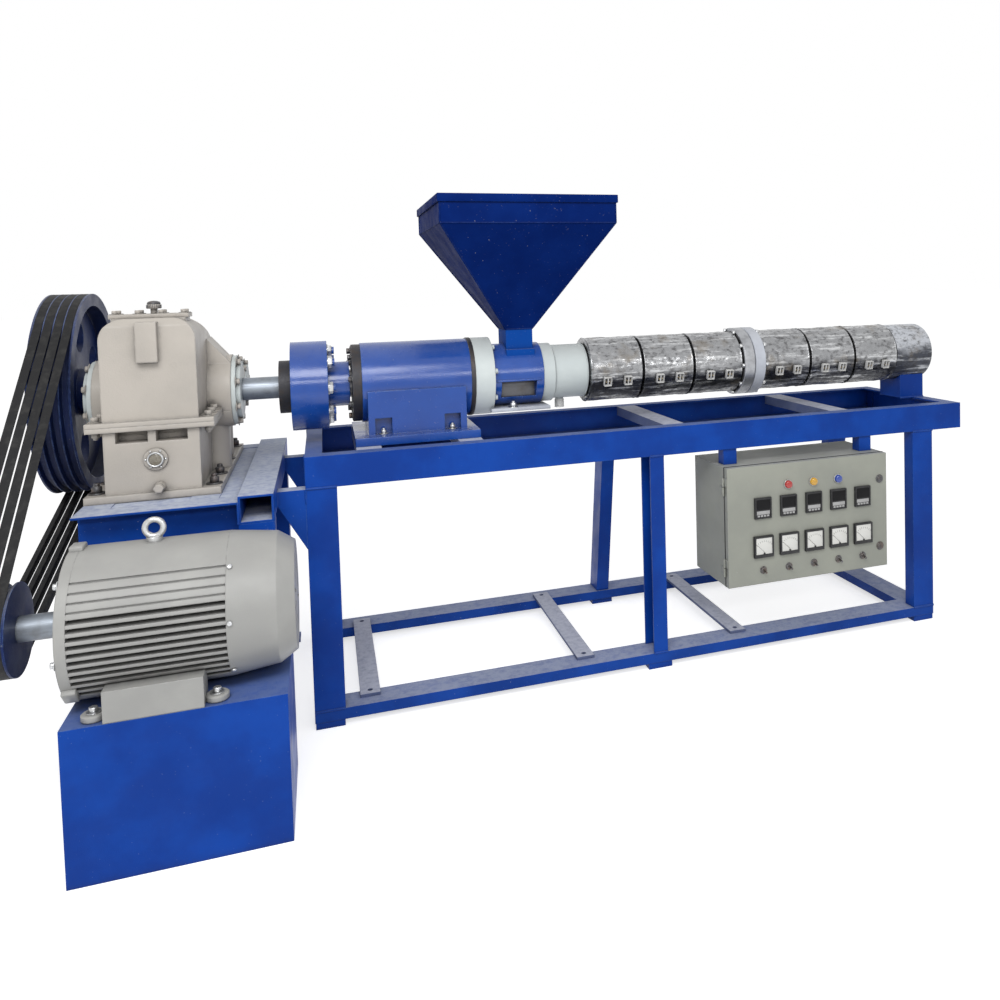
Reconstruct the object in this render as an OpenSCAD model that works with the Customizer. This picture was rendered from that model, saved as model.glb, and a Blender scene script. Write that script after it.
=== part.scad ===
// Single-screw plastic extruder: table frame, belt drive, gearbox, barrel and control cabinet.
// Millimetres. X runs along the barrel towards the discharge end, Y to the rear, Z up.
// The design frame has X = 0 at the table's left end, Y = 0 at its front face, Z = 0 on the floor.

/* [Table frame] */
// Length of the table frame along the barrel
table_l = 2360; // [2260:10:2500]
// Depth of the table top, front to rear
table_top_d = 590; // [520:10:700]
// Depth of the table at the floor, where the rear legs are raked out
table_foot_d = 730; // [600:10:800]
// Height of the rail tops above the floor
table_h = 820; // [780:5:900]
// Height of the foot pads
foot_h = 20; // [10:1:40]
// Side of a square foot pad
foot_w = 84; // [60:2:86]
// Web height of the main channel section
channel_h = 95; // [80:5:125]
// Flange width of the main channel section
channel_w = 50; // [40:1:65]
// Wall thickness of the channel sections
channel_t = 6; // [4:0.5:9]
// Height of the bottom rails, laid with their web upwards
bottom_rail_h = 34; // [30:1:60]
// Distance of the middle legs from the left end
mid_leg_x = 1084; // [900:2:1200]
// Overhang of the top rails past the right legs
rail_overhang = 132; // [40:2:140]
// Width of the legs seen from the front
leg_w = 88; // [70:1:94]
// Width of the top cross bars
cross_bar_w = 75; // [50:1:100]
// Place of the two open cross bars along the table, as a share of its length
cross_bar_at = [0.49, 0.77]; // [0.4:0.01:0.84]
// Width of the flat bars that tie the bottom rails
tie_w = 60; // [40:1:90]
// Thickness of those flat bars
tie_t = 10; // [6:1:16]
// Place of each flat bar along the table, as a share of its length
tie_at = [0.056, 0.35, 0.59]; // [0.03:0.001:0.8]

/* [Barrel line] */
// Height of the screw axis above the rail tops
axis_above_rail = 182; // [170:1:200]
// Distance of the screw axis behind the table's front face
axis_y = 280; // [265:5:300]
// Left end of the thrust housing
housing_x = 177; // [160:1:230]
// Length of the thrust housing
housing_l = 360; // [300:5:420]
// Radius of the thrust housing
housing_r = 130; // [125:1:139]
// Thickness of the housing's left end plate
end_plate_t = 28; // [15:1:40]
// Thickness of the housing's foot plate
foot_plate_t = 26; // [20:1:26]
// Width of the housing's foot plate
foot_plate_w = 370; // [340:5:420]
// Thickness of the barrel mounting flange
mount_flange_t = 64; // [40:1:80]
// Radius of the barrel mounting flange
mount_flange_r = 132; // [126:1:142]
// Length of the feed throat
throat_l = 172; // [150:1:200]
// Radius of the feed throat
throat_r = 107; // [102:1:120]
// Thickness of the ring after the throat
ring_t = 42; // [30:1:60]
// Radius of that ring
ring_r = 102; // [98:1:120]
// Length of the water jacket
jacket_l = 121; // [90:1:140]
// Radius of the water jacket
jacket_r = 94; // [92:1:110]
// Outer radius of the barrel
barrel_r = 85; // [80:1:90]
// Radius of the barrel bore
bore_r = 50; // [45:1:55]
// How far the barrel reaches past the table's right end
barrel_overhang = 20; // [10:5:140]
// Gap between two heater bands
band_gap = 8; // [6:1:14]
// Outer radius of a heater band
band_r = 112; // [104:1:118]
// Thickness of one of the two flanges at the barrel's middle joint
joint_flange_t = 43.5; // [30:0.5:60]
// Radius of those flanges
joint_flange_r = 126; // [120:1:140]
// Length of the barrel head at the discharge end
head_l = 174; // [140:2:220]
// Radius of the barrel head
head_r = 110; // [104:1:116]
// Rounding of the head's outer edge
head_round = 18; // [8:1:18]
// Width of the post under the barrel head, along the barrel
post_w = 110; // [70:5:130]
// Depth of that post
post_d = 130; // [90:5:160]

/* [Screw] */
// Pitch of the screw flight
flight_pitch = 100; // [80:5:120]
// Axial thickness of the flight
flight_t = 11; // [8:1:16]
// Clearance between the flight and the bore
flight_clear = 1; // [0.5:0.1:2]
// Core radius of the screw in the feed zone
core_feed_r = 32; // [28:1:36]
// Core radius of the screw at its tip
core_tip_r = 42; // [38:1:44]
// Radius of the screw shank in the thrust housing
shank_r = 45; // [38:1:48]
// Length of the screw's conical nose
nose_l = 60; // [30:5:80]

/* [Coupling] */
// Left face of the coupling's gear half
coupling_x = -71; // [-100:1:-60]
// Thickness of the gear half
gear_half_t = 36; // [30:1:60]
// Radius of the gear half
gear_half_r = 84; // [76:1:100]
// Length of the coupling drum
drum_l = 110; // [90:1:130]
// Radius of the coupling drum
drum_r = 142; // [136:1:159]
// Radius of the drum's hub
hub_r = 72; // [60:1:90]
// Number of coupling pins
pin_count = 8; // [6:1:10]
// Radius of a coupling pin's nut
pin_r = 12; // [8:1:14]
// Radius of the circle of pins
pin_circle_r = 110; // [105:1:122]

/* [Hopper] */
// Inside width of the oblong neck, along the barrel
neck_w = 84; // [76:1:110]
// Inside depth of the neck, front to rear
neck_d = 120; // [100:1:124]
// Height of the neck's top above the screw axis
neck_top = 158; // [140:2:200]
// Height of the sloping walls
cone_h = 345; // [250:5:400]
// Inside width of the hopper's mouth
mouth_w = 560; // [450:10:620]
// Height of the upright rim
rim_h = 90; // [50:5:150]
// Distance of the hopper from the throat's middle, along the barrel
hopper_shift = 12; // [-20:1:20]
// Sheet thickness of the hopper
hopper_t = 4; // [3:0.5:8]

/* [Gearbox] */
// Centre of the gearbox across its shafts
gear_x = -390; // [-400:1:-385]
// Width of the gearbox walls, along the shafts
case_w = 238; // [230:2:250]
// Front face of the gearbox
case_y = -20; // [-30:2:0]
// Length of the gearbox from front to rear
case_l = 700; // [660:5:720]
// Height of the shafts above the gearbox foot
gear_shaft_h = 258; // [250:2:290]
// Height of the shafts above the split between case and cover
split_drop = 53; // [40:1:60]
// Thickness of the gearbox foot
gear_foot_t = 20; // [18:1:40]
// How far the split flanges stand out from the walls
flange_out = 40; // [25:1:45]
// How far the foot stands out from the walls
foot_out = 50; // [50:1:60]
// Thickness of one split flange
split_t = 13; // [10:1:24]
// Height of the upper cover above the shafts
cover_h = 240; // [220:1:244]
// Height of the upper cover's low rear end above the shafts
cover_rear_h = 90; // [88:1:110]
// Rounding of the cover's top edges
cover_round = 60; // [30:2:60]
// Radius of the output shaft's bearing bosses
boss_r = 112; // [100:1:120]
// How far the output bosses stand out from the walls
boss_out = 66; // [50:1:70]
// Thickness of the bearing caps
cap_t = 25; // [16:1:26]
// Distance between the output and the input shaft
centre_d = 205; // [200:1:220]
// Radius of the input shaft's bearing bosses
input_boss_r = 84; // [70:1:90]
// Radius of the upright columns under the output bosses
column_r = 50; // [40:1:50]
// Radius of the output shaft
output_shaft_r = 35; // [30:1:45]
// Radius of the input shaft
input_shaft_r = 26; // [20:1:32]
// Radial running clearance of the shafts in their bearings
running_clear = 0.05; // [0.02:0.01:0.1]

/* [Gearbox pedestal] */
// Height of the pedestal's channel section
ped_beam_h = 150; // [120:5:175]
// Flange width of the pedestal's channel section
ped_beam_w = 75; // [60:1:85]
// Distance of the pedestal's front edge in front of the gearbox
ped_front = 145; // [120:1:150]
// Height of the box section that ends the pedestal on the table's side
link_h = 76; // [60:1:90]
// Width of that box section
link_w = 90; // [70:1:100]
// How far that box section stands above the beams
link_rise = 15; // [0:1:20]
// Gap between that box section and the table, spanned by brackets
link_gap = 78; // [60:1:90]
// Distance that the pedestal reaches past the gearbox foot on the left
ped_left = 0; // [0:1:20]

/* [Motor] */
// Distance of the motor axis in front of the table's front face
motor_y = 345; // [342:1:380]
// Height of the motor axis above the floor
motor_z = 538; // [520:2:580]
// Shaft height of the motor above its feet
motor_foot_h = 180; // [180:1:200]
// Outer radius over the fins
motor_r = 174; // [165:1:176]
// Radius of the motor's smooth frame between the fins
motor_core_r = 146; // [130:1:150]
// Left end of the finned frame
motor_x = -492; // [-500:1:-480]
// Length of the finned frame
motor_l = 321; // [300:1:340]
// Length of the drive end shield
shield_l = 45; // [30:1:50]
// Length of the fan cowl
cowl_l = 149; // [120:1:150]
// Length of the cowl's sloping rear edge
cowl_slope = 40; // [12:1:44]
// Spacing of the cooling fins
fin_pitch = 18; // [16:0.5:24]
// Thickness of a cooling fin
fin_t = 8; // [5:0.5:10]
// Radius of the motor shaft
motor_shaft_r = 30; // [24:1:34]
// Height of the motor's lifting eye over the frame
eye_r = 20; // [18:1:30]

/* [Belt drive] */
// Pitch radius of the driven pulley
driven_r = 309; // [280:1:320]
// Pitch radius of the motor pulley
motor_pulley_r = 103; // [90:1:120]
// Number of belts
belt_count = 4; // [2:1:4]
// Distance between two belts
belt_pitch = 26; // [25:0.5:27]
// Width of a belt at its back
belt_w = 22; // [18:0.5:22]
// Height of a belt's section
belt_h = 14; // [10:0.5:15]
// Right face of both pulleys
pulley_x = -626; // [-640:1:-620]
// Plain rim beside the outer grooves
pulley_edge = 6; // [4:0.5:10]
// Gap between the belts and the groove walls
belt_clear = 0.6; // [0.3:0.1:1]
// Thickness of the driven pulley's web
web_t = 26; // [18:1:40]

/* [Control cabinet] */
// Width of the cabinet
cab_w = 640; // [620:5:680]
// Height of the cabinet
cab_h = 412; // [400:2:440]
// Depth of the cabinet's shell
cab_d = 240; // [200:5:260]
// Left side of the cabinet from the table's left end
cab_x = 1340; // [1250:5:1400]
// How far the cabinet's door face stands in front of the table
cab_front = 55; // [30:1:90]
// Gap between the cabinet and the top rail
cab_drop = 55; // [30:1:80]
// Sheet thickness of the cabinet's shell
cab_t = 3; // [2:0.5:5]
// Thickness of the door
door_t = 20; // [14:1:26]
// Gap between the door and the shell
door_gap = 0.5; // [0.3:0.1:2]
// Side of a square panel meter
meter_w = 74; // [68:1:78]
// Width of a temperature controller
controller_w = 64; // [56:1:72]
// Height of a temperature controller
controller_h = 72; // [64:1:78]
// Spacing of the instruments along the door
panel_pitch = 100.5; // [92:0.5:102]
// First instrument column from the door's left edge
panel_x = 133; // [120:1:150]
// Depth of the instruments behind the door
panel_depth = 70; // [40:5:90]

/* [Hidden] */
$fn = 64;
// Overshoot that makes cuts run clear of a face
eps = 1;
// Gap between round pieces that sit in one another
seat = 0.3;
// Axis heights and stations along the barrel
axis_z = table_h + axis_above_rail;
flange_x = housing_x + housing_l;
throat_x = flange_x + mount_flange_t;
ring_x = throat_x + throat_l;
jacket_x = ring_x + ring_t;
band_x = jacket_x + jacket_l;
heat_l = (table_l + barrel_overhang - head_l - 2 * joint_flange_t - band_x) / 6;
band_l = heat_l - band_gap;
bands_l = 3 * heat_l;
joint_x = band_x + bands_l;
band2_x = joint_x + 2 * joint_flange_t;
head_x = band2_x + bands_l;
barrel_end = head_x + head_l;
neck_seat = throat_r * 0.62;
neck = [neck_w, neck_d];
mouth = [mouth_w, mouth_w];
hopper_x = throat_x + throat_l / 2 + hopper_shift;
// Belt section: above and below its pitch line, and how much narrower it is at its foot
belt_back = belt_h * 0.3;
belt_foot = belt_h * 0.7;
belt_narrow = 2 * belt_h * tan(18);
// Pulleys and shafts
pulley_w = (belt_count - 1) * belt_pitch + belt_w + 2 * pulley_edge;
input_y = axis_y + centre_d;
motor_axis_y = -motor_y;
shaft_end = 14;
pulley_left = pulley_x - pulley_w;
// Middle of the whole machine, which is the origin
base_margin = 1;
x_low = pulley_left - shaft_end;
y_low = motor_axis_y - motor_r - base_margin;
y_high = input_y + driven_r + belt_back;
mid_x = (x_low + barrel_end) / 2;
mid_y = (y_low + y_high) / 2;
// Gearbox heights
gear_foot_z = axis_z - gear_shaft_h;
split_z = axis_z - split_drop;
// Cabinet corners
cab_top = table_h - channel_h - cab_drop;
cab_z = cab_top - cab_h;
door_y = -cab_front;
shell_y = door_y + door_t + door_gap;
// Colours
royal = "#1f3f9e";
dark_blue = "#16307c";
stone = "#b9b2a5";
motor_grey = "#b4b3ac";
cream = "#c9c4b4";
steel = "#8e9196";
bright = "#c4c8cc";
black = "#1c1c1f";
panel_grey = "#b7b8b0";

// Moves the design frame to the origin under the machine's middle.
module place() { translate([-mid_x, -mid_y, 0]) children(); }

// Round bar along X.
module bar_x(r, l) { rotate([0, 90, 0]) cylinder(r = r, h = l); }

// Tube along X.
module tube_x(r, inner, l) {
    difference() {
        bar_x(r, l);
        translate([-eps, 0, 0]) bar_x(inner, l + 2 * eps);
    }
}

// Places children on the screw axis at station x.
module on_axis(x) { translate([x, axis_y, axis_z]) children(); }

// Channel section along X: web on the XZ plane facing -Y, flanges towards +Y.
module channel_x(l, h, w, t) {
    rotate([90, 0, 90]) linear_extrude(l) difference() {
        square([w, h]);
        translate([t, t]) square([w, h - 2 * t]);
    }
}

// Upright channel: web facing -Y, flanges towards +Y.
module channel_z(l, h, w, t) {
    linear_extrude(l) difference() {
        square([h, w]);
        translate([t, t]) square([h - 2 * t, w]);
    }
}

// Channel along Y, laid with its web upwards and its flanges down.
module channel_y_flat(l, w, h, t) {
    translate([0, l, 0]) rotate([90, 0, 0]) linear_extrude(l) difference() {
        square([w, h]);
        translate([t, -t]) square([w - 2 * t, h]);
    }
}

module top_rails() {
    color(royal) place() translate([0, 0, table_h - channel_h]) {
        channel_x(table_l, channel_h, channel_w, channel_t);
        translate([0, table_top_d, 0]) mirror([0, 1, 0]) channel_x(table_l, channel_h, channel_w, channel_t);
    }
}

module top_end_rails() {
    span = table_top_d - 2 * channel_w;
    color(royal) place() translate([0, channel_w, table_h - channel_h]) for (x = [0, table_l])
        translate([x, 0, 0]) mirror([x > 0 ? 1 : 0, 0, 0])
            rotate([0, 0, 90]) mirror([0, 1, 0]) channel_x(span, channel_h, channel_w, channel_t);
}

module top_cross_bars() {
    span = table_top_d - 2 * channel_w;
    under_housing = [housing_x - end_plate_t, flange_x - cross_bar_w];
    color(royal) place() for (x = concat(under_housing, table_l * cross_bar_at))
        translate([x, channel_w, table_h - bottom_rail_h])
            channel_y_flat(span, cross_bar_w, bottom_rail_h, channel_t);
}

leg_z = foot_h + bottom_rail_h;
leg_h = table_h - channel_h - leg_z;
right_leg_x = table_l - rail_overhang - leg_w;

module front_legs() {
    color(royal) place() translate([0, 0, leg_z]) {
        for (x = [0, right_leg_x])
            translate([x, 0, 0]) channel_z(leg_h, leg_w, channel_w, channel_t);
        translate([mid_leg_x + channel_w, 0, 0]) rotate([0, 0, 90])
            channel_z(leg_h, leg_w, channel_w, channel_t);
    }
}

// Raked rear leg: its section is held level while it leans to the rear at the floor.
module raked(depth, width) {
    rake = table_foot_d - table_top_d;
    translate([width, 0, 0]) rotate([90, 0, -90]) linear_extrude(width)
        polygon([[-rake, 0], [-rake + depth, 0], [depth, leg_h], [0, leg_h]]);
}

module rear_legs() {
    color(royal) place() translate([0, table_top_d, leg_z]) {
        for (leg = [[0, leg_w, channel_w], [mid_leg_x, channel_w, leg_w], [right_leg_x, leg_w, channel_w]])
            translate([leg[0], 0, 0]) raked(leg[2], leg[1]);
    }
}

// Two rails along the floor as far as the right legs, and a cross rail between their right ends.
module bottom_rails() {
    foot_l = right_leg_x + leg_w;
    color(royal) place() translate([0, 0, foot_h]) for (y = [0, table_foot_d - channel_h])
        translate([0, y + channel_h, 0]) rotate([0, 0, -90])
            channel_y_flat(foot_l, channel_h, bottom_rail_h, channel_t);
    color(royal) place() translate([foot_l - channel_h, channel_h, foot_h])
        channel_y_flat(table_foot_d - 2 * channel_h, channel_h, bottom_rail_h, channel_t);
}

module bottom_ties() {
    hole_in = 25;
    color(royal) place() for (x = table_l * tie_at) translate([x, 0, leg_z]) difference() {
        translate([0, channel_h / 2, 0]) cube([tie_w, table_foot_d - channel_h, tie_t]);
        for (y = [channel_h / 2 + hole_in, table_foot_d - channel_h / 2 - hole_in])
            translate([tie_w / 2, y, -eps]) cylinder(r = 8, h = tie_t + 2 * eps);
    }
}

module table_feet() {
    inset = (leg_w - foot_w) / 2;
    color(steel) place() for (x = [0, mid_leg_x - foot_w / 4, right_leg_x], y = [0, table_foot_d - leg_w])
        translate([x + inset, y + inset, 0]) cube([foot_w, foot_w, foot_h]);
}

ped_x = gear_x - case_w / 2 - foot_out - ped_left;
link_x = -link_gap - link_w;
link_z = gear_foot_z + link_rise - link_h;
ped_l = link_x - ped_x;
ped_y = case_y - ped_front;
ped_d = case_l + ped_front + ped_beam_w + channel_w / 2;
ped_beam_z = gear_foot_z - ped_beam_h;

module pedestal_beams() {
    color(royal) place() translate([ped_x, ped_y, ped_beam_z]) {
        translate([0, ped_beam_w, 0]) mirror([0, 1, 0]) channel_x(ped_l, ped_beam_h, ped_beam_w, channel_t);
        translate([0, ped_d - ped_beam_w, 0]) channel_x(ped_l, ped_beam_h, ped_beam_w, channel_t);
    }
}

// Bracket between the box section and a leg of the table, with a sloping lower edge.
module link_bracket(y) {
    translate([0, y + channel_w, 0]) rotate([90, 0, 0]) linear_extrude(channel_w)
        polygon([[-link_gap, link_z], [0, link_z - 1.8 * link_h], [0, table_h - channel_h],
            [-link_gap, table_h - channel_h]]);
}

// Two cross beams carry the gearbox foot; a box section, open at its front end, closes the pedestal.
module pedestal_cross_beams() {
    span = ped_d - 2 * ped_beam_w;
    foot_right = gear_x + case_w / 2 + foot_out;
    color(royal) place() {
        for (x = [ped_x, foot_right - ped_beam_w])
            translate([x, ped_y + ped_beam_w + span, ped_beam_z]) rotate([0, 0, -90])
                channel_x(span, ped_beam_h, ped_beam_w, channel_t);
        translate([link_x, ped_y, link_z]) difference() {
            cube([link_w, ped_d, link_h]);
            translate([channel_t, -eps, channel_t])
                cube([link_w - 2 * channel_t, ped_d - channel_t + eps, link_h - 2 * channel_t]);
        }
        for (y = [0, table_top_d - channel_w]) link_bracket(y);
    }
}

module pedestal_posts() {
    plate_t = foot_h * 0.6;
    plate_w = leg_w * 1.5;
    color(royal) place() for (y = [ped_y, ped_y + ped_d - ped_beam_w]) {
        translate([ped_x, y, 0]) {
            translate([0, 0, plate_t]) channel_z(ped_beam_z - plate_t, channel_h, ped_beam_w, channel_t);
            cube([plate_w, ped_beam_w, plate_t]);
        }
        translate([link_x, y, 0]) {
            translate([0, 0, plate_t]) channel_z(link_z - plate_t, link_w, ped_beam_w, channel_t);
            translate([(link_w - plate_w) / 2, 0, 0]) cube([plate_w, ped_beam_w, plate_t]);
        }
    }
}

base_z = motor_z - motor_foot_h;
base_x = motor_x - shield_l / 2;
base_l = cowl_l * 0.85 + motor_l + shield_l / 2;
base_d = 2 * (motor_r + base_margin);

module motor_base() {
    wall = 10;
    color(royal) place() translate([base_x, motor_axis_y - base_d / 2, 0]) difference() {
        cube([base_l, base_d, base_z]);
        translate([wall, wall, -eps]) cube([base_l - 2 * wall, base_d - 2 * wall, base_z - 2 * wall + eps]);
    }
}

// Upright columns that carry the bearing bosses on both walls.
module gear_columns() {
    h = split_z - gear_foot_z;
    for (s = [-1, 1], c = [[axis_y, column_r], [input_y, column_r * 0.75]])
        translate([gear_x + s * case_w / 2, c[0], gear_foot_z]) cylinder(r = c[1], h = h);
}

module gearbox_lower_case() {
    wall_h = split_z - gear_foot_z;
    rib = flange_out / 2;
    pocket_w = (case_w - 4 * rib) / 2;
    pocket_h = wall_h * 0.16;
    lip = split_t;
    color(stone) place() {
        translate([gear_x, case_y, gear_foot_z]) difference() {
            union() {
                translate([-case_w / 2, 0, 0]) cube([case_w, case_l, wall_h]);
                translate([-case_w / 2 - foot_out, -lip, 0])
                    cube([case_w + 2 * foot_out, case_l + 2 * lip, gear_foot_t]);
                translate([-case_w / 2 - flange_out, -lip, wall_h - split_t])
                    cube([case_w + 2 * flange_out, case_l + 2 * lip, split_t]);
            }
            for (s = [-1, 1])
                translate([(s * (pocket_w + rib) - pocket_w) / 2, -lip - eps, wall_h - split_t - pocket_h])
                    cube([pocket_w, lip + 2.5 * rib, pocket_h]);
        }
        gear_bosses(-1);
        gear_columns();
    }
}

// Bearing bosses through both walls, cut at the split: side -1 is below it, side 1 above.
module gear_bosses(side) {
    reach = case_w / 2 + boss_out;
    for (b = [[axis_y, boss_r], [input_y, input_boss_r]]) intersection() {
        translate([gear_x - reach, b[0], axis_z]) bar_x(b[1], 2 * reach);
        translate([gear_x - reach, b[0] - b[1], side < 0 ? axis_z - b[1] : split_z])
            cube([2 * reach, 2 * b[1], side < 0 ? b[1] - split_drop : b[1] + split_drop]);
    }
}

// Outline of the cover seen along the shafts: high at the front, sloping down to the rear.
module cover_outline() {
    top = cover_h + split_drop;
    rear = cover_rear_h + split_drop;
    nose = cover_round / 3;
    polygon([[0, 0], [case_l, 0], [case_l, rear], [case_l * 0.74, rear + nose],
        [case_l * 0.19, top], [nose, top], [0, top - nose]]);
}

// Cross section of the cover with its rounded shoulders.
module cover_section() {
    top = cover_h + split_drop;
    translate([-case_w / 2, 0]) difference() {
        square([case_w, top]);
        for (s = [0, 1]) translate([s * case_w, top]) mirror([s, 0]) difference() {
            translate([-eps, -cover_round]) square([cover_round + eps, cover_round + eps]);
            translate([cover_round, -cover_round]) circle(r = cover_round);
        }
    }
}

// Sloping web between a wall of the cover and the top of its output boss.
module boss_web(side) {
    l = boss_r * 1.2;
    translate([gear_x, axis_y + l / 2, axis_z]) mirror([side < 0 ? 1 : 0, 0, 0]) rotate([90, 0, 0]) linear_extrude(l)
        polygon([[case_w / 2 - eps, boss_r * 0.5], [case_w / 2 + boss_out, boss_r * 0.5],
            [case_w / 2 + boss_out, boss_r * 0.8], [case_w / 2, boss_r * 1.5], [case_w / 2 - eps, boss_r * 1.5]]);
}

lid_t = split_t * 0.9;
lid_l = case_l * 0.19 - cover_round;

module gearbox_upper_cover() {
    pad_w = case_w * 0.22;
    pad_h = cover_h * 0.46;
    pad_t = cap_t * 0.8;
    lip = split_t;
    color(stone) place() {
        translate([gear_x, case_y, split_z]) {
            intersection() {
                translate([-case_w / 2, 0, 0]) rotate([90, 0, 90]) linear_extrude(case_w) cover_outline();
                translate([0, case_l, 0]) rotate([90, 0, 0]) linear_extrude(case_l) cover_section();
            }
            translate([-case_w / 2 - flange_out, -lip, 0])
                cube([case_w + 2 * flange_out, case_l + 2 * lip, split_t]);
            translate([-pad_w / 2, -pad_t, split_drop + cover_h * 0.5]) cube([pad_w, 2 * pad_t, pad_h]);
            translate([-case_w * 0.39, cover_round * 0.6, split_drop + cover_h - cover_round])
                cube([case_w * 0.78, lid_l + cover_round * 0.2, cover_round]);
        }
        gear_bosses(1);
        for (s = [-1, 1]) boss_web(s);
    }
}

module inspection_cover() {
    w = case_w * 0.84;
    color(stone) place() translate([gear_x - w / 2, case_y + cover_round * 0.7, axis_z + cover_h])
        cube([w, lid_l, lid_t]);
}

module gearbox_fittings() {
    sight_r = case_w * 0.126;
    wall_h = split_z - gear_foot_z;
    color(stone) place() {
        translate([gear_x + 8, case_y + cover_round * 0.7 + lid_l * 0.5, axis_z + cover_h + lid_t]) {
            cylinder(r = 9, h = 14);
            translate([0, 0, 14]) cylinder(r = 18, h = 12);
        }
        translate([gear_x + 8, case_y, gear_foot_z + wall_h * 0.54]) rotate([90, 0, 0]) {
            cylinder(r = sight_r, h = 8);
            translate([0, 0, 8]) cylinder(r = sight_r * 0.7, h = 5);
        }
        translate([gear_x + 16, case_y, gear_foot_z + gear_foot_t + 14]) rotate([90, 0, 0]) {
            cylinder(r = 14, h = 24);
            translate([0, 0, 24]) cylinder(r = 13, h = 14, $fn = 6);
        }
    }
}

// Bearing cap standing on a boss face.
module bearing_cap(x, y, r, side, shaft_r) {
    translate([x, y, axis_z]) mirror([side < 0 ? 1 : 0, 0, 0]) difference() {
        union() {
            bar_x(r - 4, cap_t / 2);
            bar_x(r - 22, cap_t);
        }
        if (shaft_r > 0) translate([-eps, 0, 0]) bar_x(shaft_r + running_clear, cap_t + 2 * eps);
    }
}

module bearing_caps() {
    reach = case_w / 2 + boss_out;
    color(cream) place() {
        bearing_cap(gear_x + reach, axis_y, boss_r, 1, output_shaft_r);
        bearing_cap(gear_x - reach, axis_y, boss_r, -1, 0);
        bearing_cap(gear_x + reach, input_y, input_boss_r, 1, 0);
        bearing_cap(gear_x - reach, input_y, input_boss_r, -1, input_shaft_r);
    }
}

eye_x = motor_l * 0.48;

module on_motor(x) { translate([x, motor_axis_y, motor_z]) children(); }

// Level gaps between cooling fins on both sides, from row n0 to row n1, cut down to the given radius.
module fin_gaps(n0, n1, floor_r, gap) {
    for (i = [n0 : n1], s = [0, 1]) {
        h = i * fin_pitch;
        floor_y = sqrt(pow(floor_r, 2) - pow(h, 2));
        mirror([0, s, 0]) translate([-eps, floor_y, h - gap / 2]) cube([motor_l + 2 * eps, motor_r, gap]);
    }
}

module motor_body() {
    low_n = floor(motor_core_r * 0.88 / fin_pitch);
    deep_n = floor(motor_core_r * 0.42 / fin_pitch);
    high_n = floor(motor_r * 0.8 / fin_pitch);
    line_depth = 3;
    foot_l = motor_l * 0.64;
    foot_d = motor_r * 0.4;
    color(motor_grey) place() on_motor(motor_x) {
        difference() {
            bar_x(motor_r, motor_l);
            fin_gaps(-low_n, deep_n, motor_core_r, fin_pitch - fin_t);
            fin_gaps(deep_n + 1, high_n, motor_r - line_depth, fin_t / 2);
        }
        translate([eye_x, 0, 0]) cylinder(r = 24, h = motor_r);
        for (s = [-1, 1]) translate([(motor_l - foot_l) * 0.55, s * (motor_r - foot_d / 2) - foot_d / 2, -motor_foot_h])
            cube([foot_l, foot_d, motor_foot_h - motor_core_r * 0.74]);
    }
}

module motor_end_shield() {
    color(motor_grey) place() on_motor(motor_x - shield_l) difference() {
        rotate([0, 90, 0]) rotate_extrude() polygon([[0, 0], [motor_r * 0.35, 0], [motor_r * 0.45, shield_l * 0.36],
            [motor_r * 0.78, shield_l * 0.42], [motor_r * 0.92, shield_l * 0.5], [motor_r, shield_l * 0.5],
            [motor_r, shield_l], [0, shield_l]]);
        translate([-eps, 0, 0]) bar_x(motor_shaft_r + running_clear, shield_l + 2 * eps);
    }
}

// Tapered sheet cowl over the fan, with radial air slots in its end.
module fan_cowl() {
    t = 3;
    wall = 4;
    slots = 16;
    slot_w = 8;
    rear_r = motor_r * 0.925;
    end_r = rear_r - cowl_slope * 0.65;
    color(motor_grey) place() on_motor(motor_x + motor_l) difference() {
        rotate([0, 90, 0]) rotate_extrude() polygon([[0, 0], [motor_r, 0], [rear_r, cowl_l - cowl_slope],
            [end_r, cowl_l], [0, cowl_l]]);
        translate([wall, 0, 0]) rotate([0, 90, 0]) rotate_extrude() polygon([[0, 0], [motor_r - t, 0],
            [rear_r - t, cowl_l - cowl_slope - wall], [end_r - t, cowl_l - wall - t], [0, cowl_l - wall - t]]);
        for (i = [0 : slots - 1]) rotate([i * 360 / slots, 0, 0])
            translate([cowl_l - 2 * t, -slot_w / 2, end_r * 0.4]) cube([3 * t, slot_w, end_r * 0.5]);
    }
}

module lifting_eye() {
    color(bright) place() on_motor(motor_x + eye_x) translate([0, 0, motor_r]) {
        cylinder(r = 18, h = 10);
        translate([0, 0, eye_r + 11]) rotate([90, 0, 0]) rotate_extrude() translate([eye_r, 0]) circle(r = 7);
    }
}

module thrust_housing() {
    body_w = 2 * housing_r + 16;
    plate_z = table_h;
    block_x = housing_x + housing_l * 0.04;
    block_l = housing_l * 0.86;
    block_h = axis_z - 18 - plate_z - foot_plate_t;
    pocket = 52;
    margin = 20;
    color(royal) place() difference() {
        union() {
            on_axis(housing_x) bar_x(housing_r, housing_l);
            translate([block_x, axis_y - body_w / 2, plate_z + foot_plate_t]) cube([block_l, body_w, block_h]);
            translate([housing_x - end_plate_t, axis_y - foot_plate_w / 2, plate_z])
                cube([housing_l + end_plate_t, foot_plate_w, foot_plate_t]);
        }
        on_axis(housing_x - end_plate_t - eps) bar_x(shank_r + 8, housing_l + end_plate_t + 2 * eps);
        for (x = [block_x + margin, block_x + block_l - margin - pocket], s = [-1, 1])
            translate([x, axis_y + s * (body_w / 2 - 15) - 15 - eps / 2, plate_z + foot_plate_t])
                cube([pocket, 30 + eps, pocket]);
    }
}

module thrust_end_plate() {
    color(black) place() on_axis(housing_x - end_plate_t) tube_x(housing_r - 4, shank_r + running_clear, end_plate_t);
}

module barrel_mount_flange() {
    color(cream) place() on_axis(flange_x) tube_x(mount_flange_r, bore_r, mount_flange_t);
}

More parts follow.
